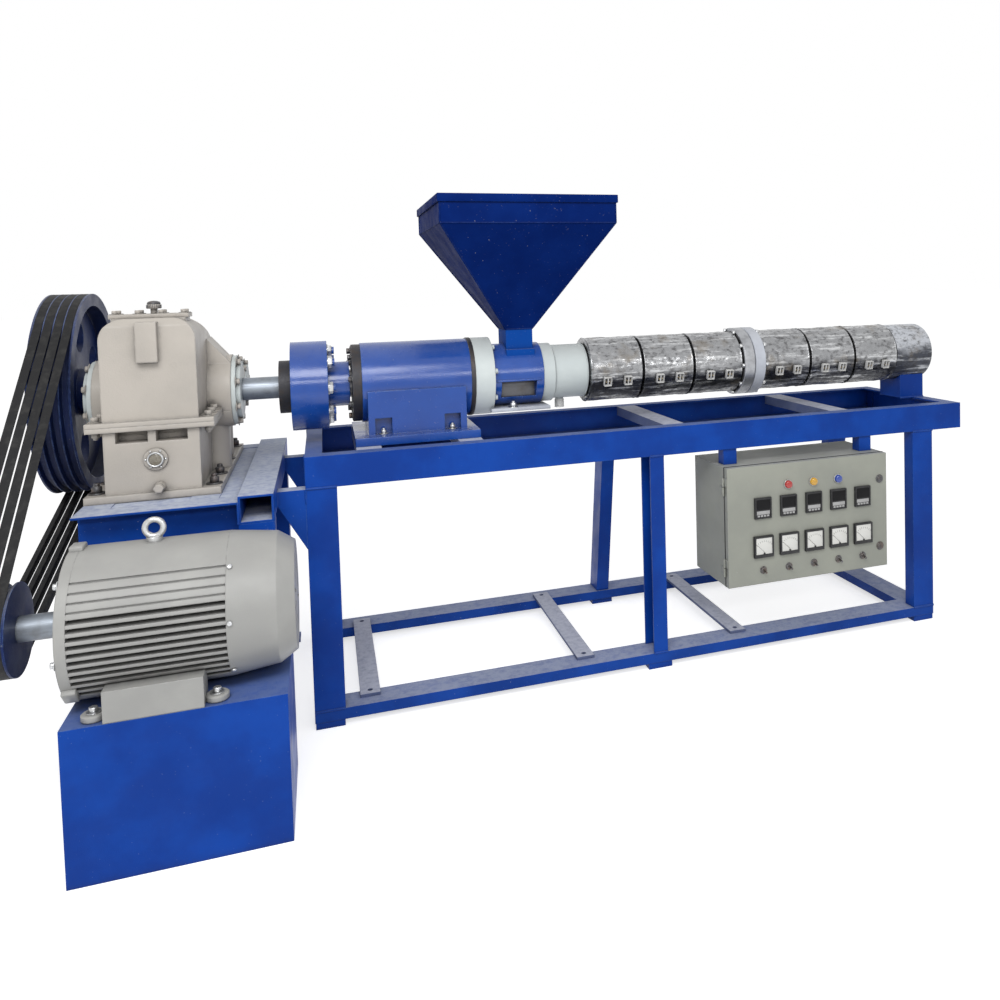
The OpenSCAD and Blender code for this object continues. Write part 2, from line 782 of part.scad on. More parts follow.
module feed_throat() {
    window_h = throat_r * 0.5;
    wall = 2 * (hopper_t + seat);
    color(royal) place() difference() {
        on_axis(throat_x) bar_x(throat_r, throat_l);
        on_axis(throat_x - eps) bar_x(bore_r, throat_l + 2 * eps);
        translate([hopper_x - (neck_w + wall) / 2, axis_y - (neck_d + wall) / 2, axis_z + neck_seat])
            cube([neck_w + wall, neck_d + wall, throat_r]);
        translate([hopper_x - neck_w / 2, axis_y - neck_w / 2, axis_z]) cube([neck_w, neck_w, throat_r]);
        translate([throat_x + throat_l * 0.15, axis_y - throat_r - eps, axis_z - throat_r * 0.66])
            cube([throat_l * 0.7, throat_r * 0.36, window_h]);
    }
}

module throat_ring() {
    color(cream) place() on_axis(ring_x) tube_x(ring_r, barrel_r + seat, ring_t);
}

module water_jacket() {
    nip_r = 14;
    color(cream) place() on_axis(jacket_x) difference() {
        union() {
            bar_x(jacket_r, jacket_l);
            translate([36, 0, -jacket_r - 34]) cylinder(r = nip_r, h = jacket_r);
        }
        translate([-eps, 0, 0]) bar_x(barrel_r + seat, jacket_l + 2 * eps);
        translate([36, 0, -jacket_r - 34 - eps]) cylinder(r = 9, h = jacket_r);
    }
}

module barrel() {
    hole_l = 30;
    color(steel) place() difference() {
        on_axis(ring_x) tube_x(barrel_r, bore_r, barrel_end - ring_x);
        for (a = [0 : 60 : 300]) on_axis(barrel_end - hole_l) rotate([a + 30, 0, 0])
            translate([0, 0, (barrel_r + bore_r) / 2]) bar_x(6, hole_l + eps);
    }
}

// One heater band with its two terminal blocks on the lower front.
module heater_band(x) {
    seam = 5;
    on_axis(x) difference() {
        union() {
            bar_x(band_r, band_l);
            for (u = [0.3, 0.7]) rotate([24, 0, 0])
                translate([band_l * u - 12, -band_r - 8, -10]) cube([24, 16, 20]);
        }
        translate([-eps, 0, 0]) bar_x(barrel_r + seat, band_l + 2 * eps);
        translate([-eps, -seam / 2, -band_r - eps]) cube([band_l + 2 * eps, seam, band_r]);
    }
}

module heater_bands_feed() {
    color(bright) place() for (i = [0 : 2]) heater_band(band_x + band_gap / 2 + i * (band_l + band_gap));
}

module heater_bands_die() {
    color(bright) place() for (i = [0 : 2]) heater_band(band2_x + band_gap / 2 + i * (band_l + band_gap));
}

module barrel_flanges() {
    gap = 2;
    color(cream) place() {
        on_axis(joint_x) tube_x(joint_flange_r, barrel_r + seat, joint_flange_t - gap / 2);
        on_axis(joint_x + joint_flange_t + gap / 2) tube_x(joint_flange_r, barrel_r + seat, joint_flange_t - gap / 2);
    }
}

module barrel_head() {
    color(bright) place() on_axis(head_x) rotate([0, 90, 0]) rotate_extrude() {
        inner = barrel_r + seat;
        translate([inner, 0]) square([head_r - head_round - inner, head_l]);
        translate([inner, 0]) square([head_r - inner, head_l - head_round]);
        intersection() {
            translate([head_r - head_round, head_l - head_round]) circle(r = head_round);
            translate([inner, 0]) square([head_r, head_l]);
        }
    }
}

module barrel_post() {
    top = axis_z - head_r * 0.72;
    color(royal) place() difference() {
        translate([table_l - post_w, axis_y - post_d / 2, table_h]) cube([post_w, post_d, top - table_h]);
        on_axis(table_l - post_w - eps) bar_x(head_r + seat, post_w + 2 * eps);
    }
}

// Thin slab of the given size on the plane at height z, centred on the axis.
module slab(size, z, t) { translate([-size[0] / 2, -size[1] / 2, z]) cube([size[0], size[1], t]); }

// Oblong frustum shell with the given inside sizes below and above and a constant wall across.
module funnel(low, high, h) {
    thin = 0.01;
    wall = 2 * hopper_t * [1, 1];
    difference() {
        hull() {
            slab(low + wall, 0, thin);
            slab(high + wall, h - thin, thin);
        }
        hull() {
            slab(low, -thin, 2 * thin);
            slab(high, h - thin, 2 * thin);
        }
    }
}

module hopper() {
    color(dark_blue) place() translate([hopper_x, axis_y, axis_z]) {
        translate([0, 0, neck_seat]) funnel(neck, neck, neck_top - neck_seat);
        translate([0, 0, neck_top]) funnel(neck, mouth, cone_h);
        translate([0, 0, neck_top + cone_h]) funnel(mouth, mouth, rim_h);
    }
}

module cabinet_shell() {
    color(panel_grey) place() translate([cab_x, shell_y, cab_z]) difference() {
        cube([cab_w, cab_d, cab_h]);
        translate([cab_t, -eps, cab_t]) cube([cab_w - 2 * cab_t, cab_d - cab_t + eps, cab_h - 2 * cab_t]);
    }
}

module cabinet_hangers() {
    tab_w = 50;
    tab_y = 8;
    color(royal) place() for (x = [cab_x + 20, cab_x + cab_w - 20 - tab_w])
        translate([x, tab_y, cab_top]) cube([tab_w, channel_w - tab_y, cab_drop]);
}

function door_col(i) = panel_x + i * panel_pitch;
controller_z = cab_h * 0.643;
meter_z = cab_h * 0.318;
toggle_z = cab_h * 0.116;
lamp_z = cab_h * 0.82;
lamp_x = [for (i = [1 : 3]) panel_x + i * panel_pitch];

module cabinet_door() {
    cut = door_t + 2 * eps;
    color(panel_grey) place() translate([cab_x, door_y, cab_z]) difference() {
        cube([cab_w, door_t, cab_h]);
        for (i = [0 : 4]) {
            translate([door_col(i) - controller_w / 2 + 4, -eps, controller_z - controller_h / 2 + 4])
                cube([controller_w - 8, cut, controller_h - 8]);
            translate([door_col(i), cut - eps, meter_z]) rotate([90, 0, 0]) cylinder(r = meter_w / 2 - 6, h = cut);
        }
    }
}

module controllers() {
    color(black) place() for (i = [0 : 4]) translate([cab_x + door_col(i), door_y, cab_z + controller_z]) {
        translate([-controller_w / 2, -6, -controller_h / 2]) cube([controller_w, 6, controller_h]);
        translate([-controller_w / 2 + 4 + seat, 0, -controller_h / 2 + 4 + seat])
            cube([controller_w - 8 - 2 * seat, panel_depth, controller_h - 8 - 2 * seat]);
    }
}

module meters() {
    color(black) place() for (i = [0 : 4]) translate([cab_x + door_col(i), door_y, cab_z + meter_z]) {
        translate([-meter_w / 2, -8, -meter_w / 2]) cube([meter_w, 8, meter_w]);
        translate([0, panel_depth, 0]) rotate([90, 0, 0]) cylinder(r = meter_w / 2 - 6 - seat, h = panel_depth);
    }
}

module pilot_lamps() {
    color("red") place() for (x = lamp_x) translate([cab_x + x, door_y, cab_z + lamp_z]) rotate([90, 0, 0]) {
        cylinder(r = 16, h = 5);
        translate([0, 0, 5]) cylinder(r = 12, h = 10);
    }
}

module toggle_switches() {
    color(steel) place() for (i = [0 : 4]) translate([cab_x + door_col(i), door_y, cab_z + toggle_z]) {
        rotate([90, 0, 0]) cylinder(r = 8, h = 6);
        translate([0, -6, 0]) rotate([100, 0, 0]) cylinder(r = 3.5, h = 18);
    }
}

module door_locks() {
    color(steel) place() for (z = cab_h * [0.18, 0.777]) translate([cab_x + cab_w - 30, door_y, cab_z + z])
        rotate([90, 0, 0]) cylinder(r = 11, h = 6);
}

module output_shaft() {
    inner = gear_x + case_w / 2 + boss_out;
    color(steel) place() on_axis(inner) bar_x(output_shaft_r, coupling_x - inner);
}

module coupling_gear_half() {
    color(black) place() on_axis(coupling_x) bar_x(gear_half_r, gear_half_t);
}

drum_x = coupling_x + gear_half_t;

module coupling_drum() {
    hub_l = housing_x - end_plate_t - 8 - drum_x - drum_l;
    color(royal) place() on_axis(drum_x) {
        bar_x(drum_r, drum_l);
        bar_x(hub_r, drum_l + hub_l);
        for (i = [0 : pin_count - 1]) rotate([i * 360 / pin_count, 0, 0]) translate([0, 0, pin_circle_r])
            bar_x(pin_r, drum_l + 22);
    }
}

module screw_core() {
    shank_x = housing_x - end_plate_t - 8;
    feed_l = barrel_end - nose_l - throat_x;
    color(steel) place() {
        on_axis(shank_x) bar_x(shank_r, throat_x - shank_x);
        on_axis(throat_x) rotate([0, 90, 0]) cylinder(r1 = core_feed_r, r2 = core_tip_r, h = feed_l);
        on_axis(throat_x + feed_l) rotate([0, 90, 0]) cylinder(r1 = core_tip_r, r2 = 4, h = nose_l);
    }
}

module screw_flight() {
    l = barrel_end - nose_l - throat_x - 4;
    turn = 360 * l / flight_pitch;
    half = 180 * flight_t / flight_pitch;
    outer = bore_r - flight_clear;
    inner = core_feed_r - 2;
    color(steel) place() on_axis(throat_x + 2) rotate([0, 90, 0])
        linear_extrude(height = l, twist = -turn, slices = round(turn / 15), segments = 5)
            polygon([for (a = [-half, 0, half]) outer * [cos(a), sin(a)],
                for (a = [half, -half]) inner * [cos(a), sin(a)]]);
}

// Corners of a belt's section: across the belt, and outwards from the pitch line.
function belt_corners(extra) = [[-belt_w / 2 - extra, belt_back], [belt_w / 2 + extra, belt_back],
    [(belt_w - belt_narrow) / 2 + extra, -belt_foot], [-(belt_w - belt_narrow) / 2 - extra, -belt_foot]];

// Groove section: the belt's own, deeper at the foot and open at the rim.
module groove_section() {
    c = belt_corners(belt_clear);
    polygon([c[0] + [0, eps], c[1] + [0, eps], c[1], c[2] - [0, belt_clear], c[3] - [0, belt_clear], c[0]]);
}

function belt_x(i) = pulley_x - pulley_edge - belt_w / 2 - i * belt_pitch;

// Grooved pulley rim along X, right face at x = 0, around a pitch radius r.
module pulley_rim(r) {
    difference() {
        translate([-pulley_w, 0, 0]) bar_x(r + belt_back, pulley_w);
        for (i = [0 : belt_count - 1]) translate([belt_x(i) - pulley_x, 0, 0]) rotate([0, 90, 0])
            rotate_extrude() translate([r, 0]) rotate(-90) groove_section();
    }
}

module driven_pulley() {
    rim_in = driven_r - 34;
    color(dark_blue) place() translate([pulley_x, input_y, axis_z]) difference() {
        pulley_rim(driven_r);
        for (x = [-pulley_w - eps, -(pulley_w - web_t) / 2]) translate([x, 0, 0])
            tube_x(rim_in, 74, (pulley_w - web_t) / 2 + eps);
        translate([-pulley_w - eps, 0, 0]) bar_x(input_shaft_r, pulley_w + 2 * eps);
        for (i = [0 : 5]) rotate([i * 60, 0, 0]) translate([-pulley_w, 0, driven_r * 0.57])
            bar_x(driven_r * 0.16, pulley_w);
    }
}

module input_shaft() {
    inner = gear_x - case_w / 2 - boss_out;
    color(steel) place() translate([x_low, input_y, axis_z]) bar_x(input_shaft_r, inner - x_low);
}

module motor_pulley() {
    color(dark_blue) place() on_motor(pulley_x) difference() {
        pulley_rim(motor_pulley_r);
        translate([-pulley_w - eps, 0, 0]) bar_x(motor_shaft_r, pulley_w + 2 * eps);
    }
}

module motor_shaft() {
    color(steel) place() on_motor(x_low) bar_x(motor_shaft_r, motor_x - x_low);
}

// Belt runs: angle of the centre line and of the tangents.
belt_dy = input_y - motor_axis_y;
belt_dz = axis_z - motor_z;
belt_c = sqrt(belt_dy * belt_dy + belt_dz * belt_dz);
belt_dir = atan2(belt_dz, belt_dy);
belt_lean = asin((driven_r - motor_pulley_r) / belt_c);
belt_step = 5;

// Stations round one belt loop, each with its pulley's place along the centre line, radius and angle.
function arc_stations(c, r, a0, a1) = let (n = ceil((a1 - a0) / belt_step))
    [for (i = [0 : n]) [c, r, a0 + (a1 - a0) * i / n]];
belt_stations = concat(arc_stations(0, motor_pulley_r, 90 + belt_lean, 270 - belt_lean),
    arc_stations(belt_c, driven_r, -90 - belt_lean, 90 + belt_lean));

// Belt loop swept round both pulleys, with its centre line along Y from the motor pulley.
module belt_loop() {
    corners = belt_corners(0);
    n = len(belt_stations);
    polyhedron(points = [for (s = belt_stations, k = corners)
            [k[0], s[0] + (s[1] + k[1]) * cos(s[2]), (s[1] + k[1]) * sin(s[2])]],
        faces = [for (i = [0 : n - 1], k = [0 : 3]) let (j = (i + 1) % n, m = (k + 1) % 4)
            [4 * i + k, 4 * j + k, 4 * j + m, 4 * i + m]]);
}

module v_belts() {
    color(black) place() for (i = [0 : belt_count - 1])
        on_motor(belt_x(i)) rotate([belt_dir, 0, 0]) belt_loop();
}

top_rails();
top_end_rails();
top_cross_bars();
front_legs();
rear_legs();
bottom_rails();
bottom_ties();
table_feet();
pedestal_beams();
pedestal_cross_beams();
pedestal_posts();
motor_base();
gearbox_lower_case();
gearbox_upper_cover();
inspection_cover();
gearbox_fittings();
bearing_caps();
motor_body();
motor_end_shield();
fan_cowl();
lifting_eye();
thrust_housing();
thrust_end_plate();
barrel_mount_flange();
feed_throat();
throat_ring();
water_jacket();
barrel();
heater_bands_feed();
heater_bands_die();
barrel_flanges();
barrel_head();
barrel_post();
hopper();
cabinet_shell();
cabinet_hangers();
v_belts();
cabinet_door();
controllers();
meters();
pilot_lamps();
toggle_switches();
door_locks();
output_shaft();
coupling_gear_half();
coupling_drum();
screw_core();
screw_flight();
driven_pulley();
input_shaft();
motor_pulley();
motor_shaft();
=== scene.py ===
"""Looks of a single-screw plastic extruder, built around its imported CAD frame.

Lengths are metres. Places are measured from the table's left front corner on the floor:
X along the barrel towards the discharge end, Y to the rear, Z up.
"""

import logging
import math
from dataclasses import dataclass
from enum import Enum
from typing import Iterable, Sequence

import bmesh
import bpy
from mathutils import Matrix, Vector, noise


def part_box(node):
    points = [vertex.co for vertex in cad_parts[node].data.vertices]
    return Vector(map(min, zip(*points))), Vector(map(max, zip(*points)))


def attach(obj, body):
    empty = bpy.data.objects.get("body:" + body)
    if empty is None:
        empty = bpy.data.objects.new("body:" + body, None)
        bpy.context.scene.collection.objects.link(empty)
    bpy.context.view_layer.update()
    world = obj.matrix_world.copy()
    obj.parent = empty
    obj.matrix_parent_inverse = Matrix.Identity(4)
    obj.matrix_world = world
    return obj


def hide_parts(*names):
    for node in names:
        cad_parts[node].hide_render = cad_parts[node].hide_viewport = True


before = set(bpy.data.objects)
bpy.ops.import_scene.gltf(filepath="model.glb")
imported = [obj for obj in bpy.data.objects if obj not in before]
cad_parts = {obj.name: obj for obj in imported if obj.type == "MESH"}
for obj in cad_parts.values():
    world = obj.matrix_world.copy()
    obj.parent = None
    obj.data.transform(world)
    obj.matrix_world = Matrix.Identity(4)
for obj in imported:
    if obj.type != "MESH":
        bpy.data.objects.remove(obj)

LOG = logging.getLogger("extruder")
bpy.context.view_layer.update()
CORNER = Vector((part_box("top_rails")[0].x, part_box("top_rails")[0].y, 0.0))
TURN = 2.0 * math.pi
AXIS_Y = 0.280
AXIS_Z = 1.002
INPUT_Y = 0.485
MOTOR_Y = -0.345
MOTOR_Z = 0.538

Colour = tuple[float, float, float]
Socket = bpy.types.NodeSocket


def at(x: float, y: float, z: float) -> Vector:
    """Place in the frame of a point measured from the table's corner."""
    return CORNER + Vector((x, y, z))


def on_axis(x: float) -> Vector:
    """Place of a point on the screw's axis."""
    return at(x, AXIS_Y, AXIS_Z)


class Body(Enum):
    """CAD bodies that pieces ride on."""

    FRAME = "frame"
    DOOR = "door"
    SCREW = "screw_line"
    INPUT = "input_line"
    MOTOR = "motor_line"


class Way(Enum):
    """Directions in which a fitting points."""

    LEFT = (-1.0, 0.0, 0.0)
    RIGHT = (1.0, 0.0, 0.0)
    FRONT = (0.0, -1.0, 0.0)
    UP = (0.0, 0.0, 1.0)
    DOWN = (0.0, 0.0, -1.0)


def facing(place: Vector, way: Way | Vector, twist: float = 0.0) -> Matrix:
    """Matrix that stands a shape on a surface.

    Args:
        place: Point of the surface in the frame.
        way: Direction that the shape's own Z takes.
        twist: Turn about that direction, in radians.

    Returns:
        The matrix from the shape's own axes to the frame.
    """
    direction = Vector(way.value) if isinstance(way, Way) else way
    stand = direction.to_track_quat("Z", "Y").to_matrix().to_4x4()
    return Matrix.Translation(place) @ stand @ Matrix.Rotation(twist, 4, "Z")


class Graph:
    """Node tree of one material, with short calls for the nodes that the finishes share."""

    def __init__(self, name: str) -> None:
        """Starts an empty tree with its output, coordinates and surface nodes."""
        self.material = bpy.data.materials.new(name)
        self.material.use_nodes = True
        self.tree = self.material.node_tree
        self.tree.nodes.clear()
        self.output = self.tree.nodes.new("ShaderNodeOutputMaterial")
        self.coords = self.tree.nodes.new("ShaderNodeTexCoord")
        self.surface = self.tree.nodes.new("ShaderNodeNewGeometry")

    def feed(self, socket: Socket, value: object) -> None:
        """Links a socket to another, or sets its own value."""
        if isinstance(value, bpy.types.NodeSocket):
            self.tree.links.new(value, socket)
        elif isinstance(value, tuple) and socket.type == "RGBA":
            socket.default_value = (*value, 1.0)
        else:
            socket.default_value = value

    def add(self, kind: str, inputs: dict[str | int, object], **settings: object) -> bpy.types.Node:
        """Adds a node.

        Args:
            kind: Node type after "ShaderNode".
            inputs: Values or sockets by the input's name or place.
            settings: Properties of the node itself.

        Returns:
            The node.
        """
        node = self.tree.nodes.new("ShaderNode" + kind)
        for key, value in settings.items():
            setattr(node, key, value)
        for key, value in inputs.items():
            self.feed(node.inputs[key], value)
        return node

    def object_coords(self, stretch: Colour = (1.0, 1.0, 1.0)) -> Socket:
        """Object coordinates, stretched along the axes."""
        mapping = self.add("Mapping", {"Vector": self.coords.outputs["Object"], "Scale": stretch})
        return mapping.outputs["Vector"]

    def noise(self, scale: float, detail: float = 4.0, rough: float = 0.55,
              stretch: Colour = (1.0, 1.0, 1.0)) -> Socket:
        """Cloudy values from 0 to 1, with a scale in spots a metre."""
        cloud = self.add("TexNoise", {"Vector": self.object_coords(stretch), "Scale": scale,
                                      "Detail": detail, "Roughness": rough})
        return cloud.outputs["Fac"]

    def span(self, value: Socket, low: float, high: float, out_low: float = 0.0,
             out_high: float = 1.0) -> Socket:
        """Smooth step of a value between two limits."""
        step = self.add("MapRange", {"Value": value, "From Min": low, "From Max": high,
                                     "To Min": out_low, "To Max": out_high},
                        interpolation_type="SMOOTHSTEP")
        return step.outputs["Result"]

    def calc(self, kind: str, a: Socket | float, b: Socket | float) -> Socket:
        """Result of a math node, kept between 0 and 1."""
        return self.add("Math", {0: a, 1: b}, operation=kind, use_clamp=True).outputs[0]

    def mix(self, share: Socket | float, a: Socket | Colour, b: Socket | Colour) -> Socket:
        """Colour between a and b."""
        return self.add("Mix", {0: share, 6: a, 7: b}, data_type="RGBA").outputs[2]

    def rounded_normal(self, radius: float) -> Socket:
        """Surface normal with the edges rounded over a radius."""
        return self.add("Bevel", {"Radius": radius}, samples=4).outputs["Normal"]

    def edges(self, rounded: Socket) -> Socket:
        """Mask of the edges, from the rounded normal."""
        across = self.add("VectorMath", {0: rounded, 1: self.surface.outputs["Normal"]},
                          operation="DOT_PRODUCT")
        return self.span(across.outputs["Value"], 0.97, 0.80)

    def openness(self, reach: float) -> Socket:
        """How open a point is to its surroundings: low in corners."""
        hollow = self.add("AmbientOcclusion", {"Distance": reach}, samples=4)
        return hollow.outputs["AO"]

    def upward(self) -> Socket:
        """How far a face looks up."""
        parts = self.add("SeparateXYZ", {0: self.coords.outputs["Normal"]})
        return self.span(parts.outputs["Z"], 0.35, 0.95)

    def bump(self, height: Socket, depth: float, normal: Socket | None = None) -> Socket:
        """Normal with a relief of that depth in metres."""
        inputs: dict[str | int, object] = {"Height": height, "Distance": depth, "Strength": 1.0}
        if normal is not None:
            inputs["Normal"] = normal
        return self.add("Bump", inputs).outputs["Normal"]

    def shade(self, **inputs: object) -> bpy.types.Material:
        """Ends the tree in a Principled shader.

        Args:
            inputs: Shader inputs, with underscores for spaces.

        Returns:
            The finished material.
        """
        named = {key.replace("_", " ").title().replace("Ior", "IOR"): value
                 for key, value in inputs.items()}
        shader = self.add("BsdfPrincipled", named)
        self.tree.links.new(shader.outputs[0], self.output.inputs["Surface"])
        return self.material


@dataclass(frozen=True)
class Paint:
    """Sprayed enamel: cloudy, dusty on top, darker in corners from grimy soil and painted shade, and lighter
    along the outer edges from paint worn thin and a painted edge highlight.
    """

    slot: str
    colour: Colour
    deep: Colour
    rub_and_highlight: Colour
    dust: Colour = (0.42, 0.42, 0.41)
    dust_cover: float = 0.25
    rough: float = 0.36
    shine: float = 0.30
    wear_and_highlight: float = 0.5
    grime_and_shade: float = 0.55
    dirt_and_shade: Colour = (0.02, 0.02, 0.025)
    edge: float = 0.0035
    grain: float = 420.0
    relief: float = 0.00025
    foot: Colour | None = None
    foot_top: float = 0.0

    def make(self, name: str) -> bpy.types.Material:
        """Builds the material."""
        graph = Graph(name)
        cloud = graph.span(graph.noise(5.0, 5.0), 0.35, 0.68)
        coat = graph.mix(cloud, self.deep, self.colour)
        # Below foot_top the coat takes the foot colour, which leaves the main colour above free to carry
        # painted shade.
        if self.foot:
            height = graph.add("SeparateXYZ", {0: graph.coords.outputs["Object"]}).outputs["Z"]
            above = graph.span(height, self.foot_top - 0.002, self.foot_top + 0.002)
            coat = graph.mix(above, self.foot, coat)
        runs = graph.span(graph.noise(9.0, 6.0, 0.6, (2.2, 2.2, 0.25)), 0.58, 0.80)
        coat = graph.mix(graph.calc("MULTIPLY", runs, 0.35), coat, self.deep)
        fine = graph.noise(46.0, 6.0, 0.7)
        lying = graph.calc("MULTIPLY", graph.upward(), graph.span(fine, 0.25, 0.62, 0.55, 1.0))
        coat = graph.mix(graph.calc("MULTIPLY", lying, self.dust_cover), coat, self.dust)
        open_air = graph.openness(0.03)
        # Corners and joints darken: partly grimy soil, partly painted shade.
        corner = graph.span(open_air, 0.85, 0.35)
        soiled_and_shaded = graph.calc("MULTIPLY", corner, graph.span(fine, 0.2, 0.7, 0.4, 1.0))
        coat = graph.mix(graph.calc("MULTIPLY", soiled_and_shaded, self.grime_and_shade), coat, self.dirt_and_shade)
        normal = graph.rounded_normal(self.edge)
        # Outer edges lighten: partly paint worn thin, partly a painted edge highlight.
        outer = graph.calc("MULTIPLY", graph.edges(normal), graph.span(open_air, 0.55, 0.8))
        rubbed_and_lit = graph.calc("MULTIPLY", outer, graph.span(fine, 0.36, 0.62))
        coat = graph.mix(graph.calc("MULTIPLY", rubbed_and_lit, self.wear_and_highlight), coat, self.rub_and_highlight)
        specks = graph.span(graph.noise(150.0, 2.0), 0.70, 0.78)
        coat = graph.mix(graph.calc("MULTIPLY", specks, 0.35), coat, self.dust)
        rough = graph.span(graph.noise(14.0, 5.0), 0.2, 0.8, self.rough - 0.08, self.rough + 0.12)
        rough = graph.calc("ADD", rough, graph.calc("MULTIPLY", lying, 0.35 * self.dust_cover))
        peel = graph.noise(self.grain, 2.0)
        return graph.shade(base_color=coat, roughness=rough, specular_ior_level=self.shine,
                           normal=graph.bump(peel, self.relief, normal))


@dataclass(frozen=True)
class Metal:
    """Bare or plated metal: machining marks and stains, darker in the corners."""

    slot: str
    colour: Colour
    stain: Colour
    rough: float = 0.34
    metallic: float = 0.9
    stain_cover: float = 0.55
    marks: float = 240.0
    along: Colour = (1.0, 1.0, 1.0)
    relief: float = 0.00012
    edge: float = 0.0015
    corner_dark: Colour = (0.02, 0.02, 0.02)
    bare: Colour = (0.75, 0.76, 0.78)

    def make(self, name: str) -> bpy.types.Material:
        """Builds the material."""
        graph = Graph(name)
        blotch = graph.span(graph.noise(24.0, 6.0, 0.65), 0.42, 0.70)
        coat = graph.mix(graph.calc("MULTIPLY", blotch, self.stain_cover), self.colour, self.stain)
        # Darker in the corners.
        corner = graph.span(graph.openness(0.012), 0.8, 0.3)
        coat = graph.mix(graph.calc("MULTIPLY", corner, 0.7), coat, self.corner_dark)
        normal = graph.rounded_normal(self.edge)
        bright = graph.calc("MULTIPLY", graph.edges(normal), 0.5)
        coat = graph.mix(bright, coat, self.bare)
        lines = graph.noise(self.marks, 3.0, 0.6, self.along)
        rough = graph.span(lines, 0.25, 0.75, self.rough - 0.07, self.rough + 0.14)
        return graph.shade(base_color=coat, roughness=rough, metallic=self.metallic,
                           normal=graph.bump(lines, self.relief, normal))


@dataclass(frozen=True)
class BandSheet:
    """Thin bright sheet round the heated barrel: dented and tinted brown in patches, with painted highlight
    lines, sooty blotches that also paint dark reflections, painted shade and dark reflection below shade_z,
    and darker corners.
    """

    slot: str
    colour: Colour
    dark: Colour
    shade_z: float
    bright: Colour = (0.78, 0.79, 0.80)
    tan: Colour = (0.20, 0.165, 0.12)
    soot_and_dark_reflection: Colour = (0.045, 0.043, 0.045)
    corner_dark: Colour = (0.012, 0.012, 0.014)
    metallic: float = 0.82
    rough: float = 0.27
    dent: float = 0.0028

    def make(self, name: str) -> bpy.types.Material:
        """Builds the material."""
        graph = Graph(name)
        height = graph.add("SeparateXYZ", {0: graph.coords.outputs["Object"]}).outputs["Z"]
        waver = graph.noise(17.0, 4.0, 0.6, (0.6, 1.0, 1.0))
        lifted = graph.add("Math", {0: waver, 1: 0.10, 2: height}, operation="MULTIPLY_ADD").outputs[0]
        # Below shade_z the sheet takes its dark colour: painted shade and dark reflection.
        upper = graph.span(lifted, self.shade_z - 0.004, self.shade_z + 0.050)
        highlight_streaks = graph.noise(58.0, 6.0, 0.66, (0.10, 1.0, 1.0))
        blotch = graph.noise(66.0, 6.0, 0.70, (0.7, 1.0, 1.0))
        coat = graph.mix(upper, self.dark, self.colour)
        # Bright lines along the sheet are painted highlights.
        coat = graph.mix(graph.span(highlight_streaks, 0.50, 0.66, 0.0, 0.7), coat, self.bright)
        # Sooty blotches, partly painted dark reflections.
        coat = graph.mix(graph.span(blotch, 0.46, 0.68, 0.0, 0.75), coat, self.soot_and_dark_reflection)
        tint = graph.span(graph.noise(11.0, 3.0), 0.55, 0.72, 0.0, 0.5)
        coat = graph.mix(tint, coat, self.tan)
        # Darker in the corners.
        corner = graph.span(graph.openness(0.012), 0.85, 0.35)
        coat = graph.mix(corner, coat, self.corner_dark)
        rough = graph.span(blotch, 0.3, 0.7, self.rough - 0.1, self.rough + 0.2)
        dents = graph.noise(48.0, 3.0, 0.5, (0.5, 1.0, 1.0))
        normal = graph.rounded_normal(0.002)
        return graph.shade(base_color=coat, roughness=rough, metallic=self.metallic,
                           normal=graph.bump(dents, self.dent, normal))


@dataclass(frozen=True)
class Moulded:
    """Moulded plastic, rubber or ceramic with a fine skin and dust in its grain."""

    slot: str
    colour: Colour
    worn: Colour
    rough: float = 0.5
    shine: float = 0.4
    grain: float = 900.0
    relief: float = 0.0001

    def make(self, name: str) -> bpy.types.Material:
        """Builds the material."""
        graph = Graph(name)
        cloud = graph.span(graph.noise(38.0, 5.0, 0.6), 0.45, 0.75)
        normal = graph.rounded_normal(0.0008)
        edge = graph.calc("MULTIPLY", graph.edges(normal), 0.6)
        coat = graph.mix(graph.calc("MULTIPLY", cloud, 0.6), self.colour, self.worn)
        coat = graph.mix(edge, coat, self.worn)
        skin = graph.noise(self.grain, 2.0)
        rough = graph.span(skin, 0.3, 0.7, self.rough - 0.06, self.rough + 0.1)
        return graph.shade(base_color=coat, roughness=rough, specular_ior_level=self.shine,
                           normal=graph.bump(skin, self.relief, normal))


@dataclass(frozen=True)
class Lens:
    """Clear coloured plastic or glass over a lamp or a gauge."""

    slot: str
    colour: Colour
    deep: Colour
    rough: float = 0.12
    ribs: float = 500.0
    shine: float = 0.6
    coat: float = 0.6
    relief: float = 0.0003

    def make(self, name: str) -> bpy.types.Material:
        """Builds the material."""
        graph = Graph(name)
        facets = graph.noise(self.ribs, 2.0)
        coat = graph.mix(graph.span(facets, 0.35, 0.7), self.deep, self.colour)
        rough = graph.span(facets, 0.3, 0.7, self.rough, self.rough + 0.1)
        return graph.shade(base_color=coat, roughness=rough, specular_ior_level=self.shine,
                           coat_weight=self.coat, normal=graph.bump(facets, self.relief))


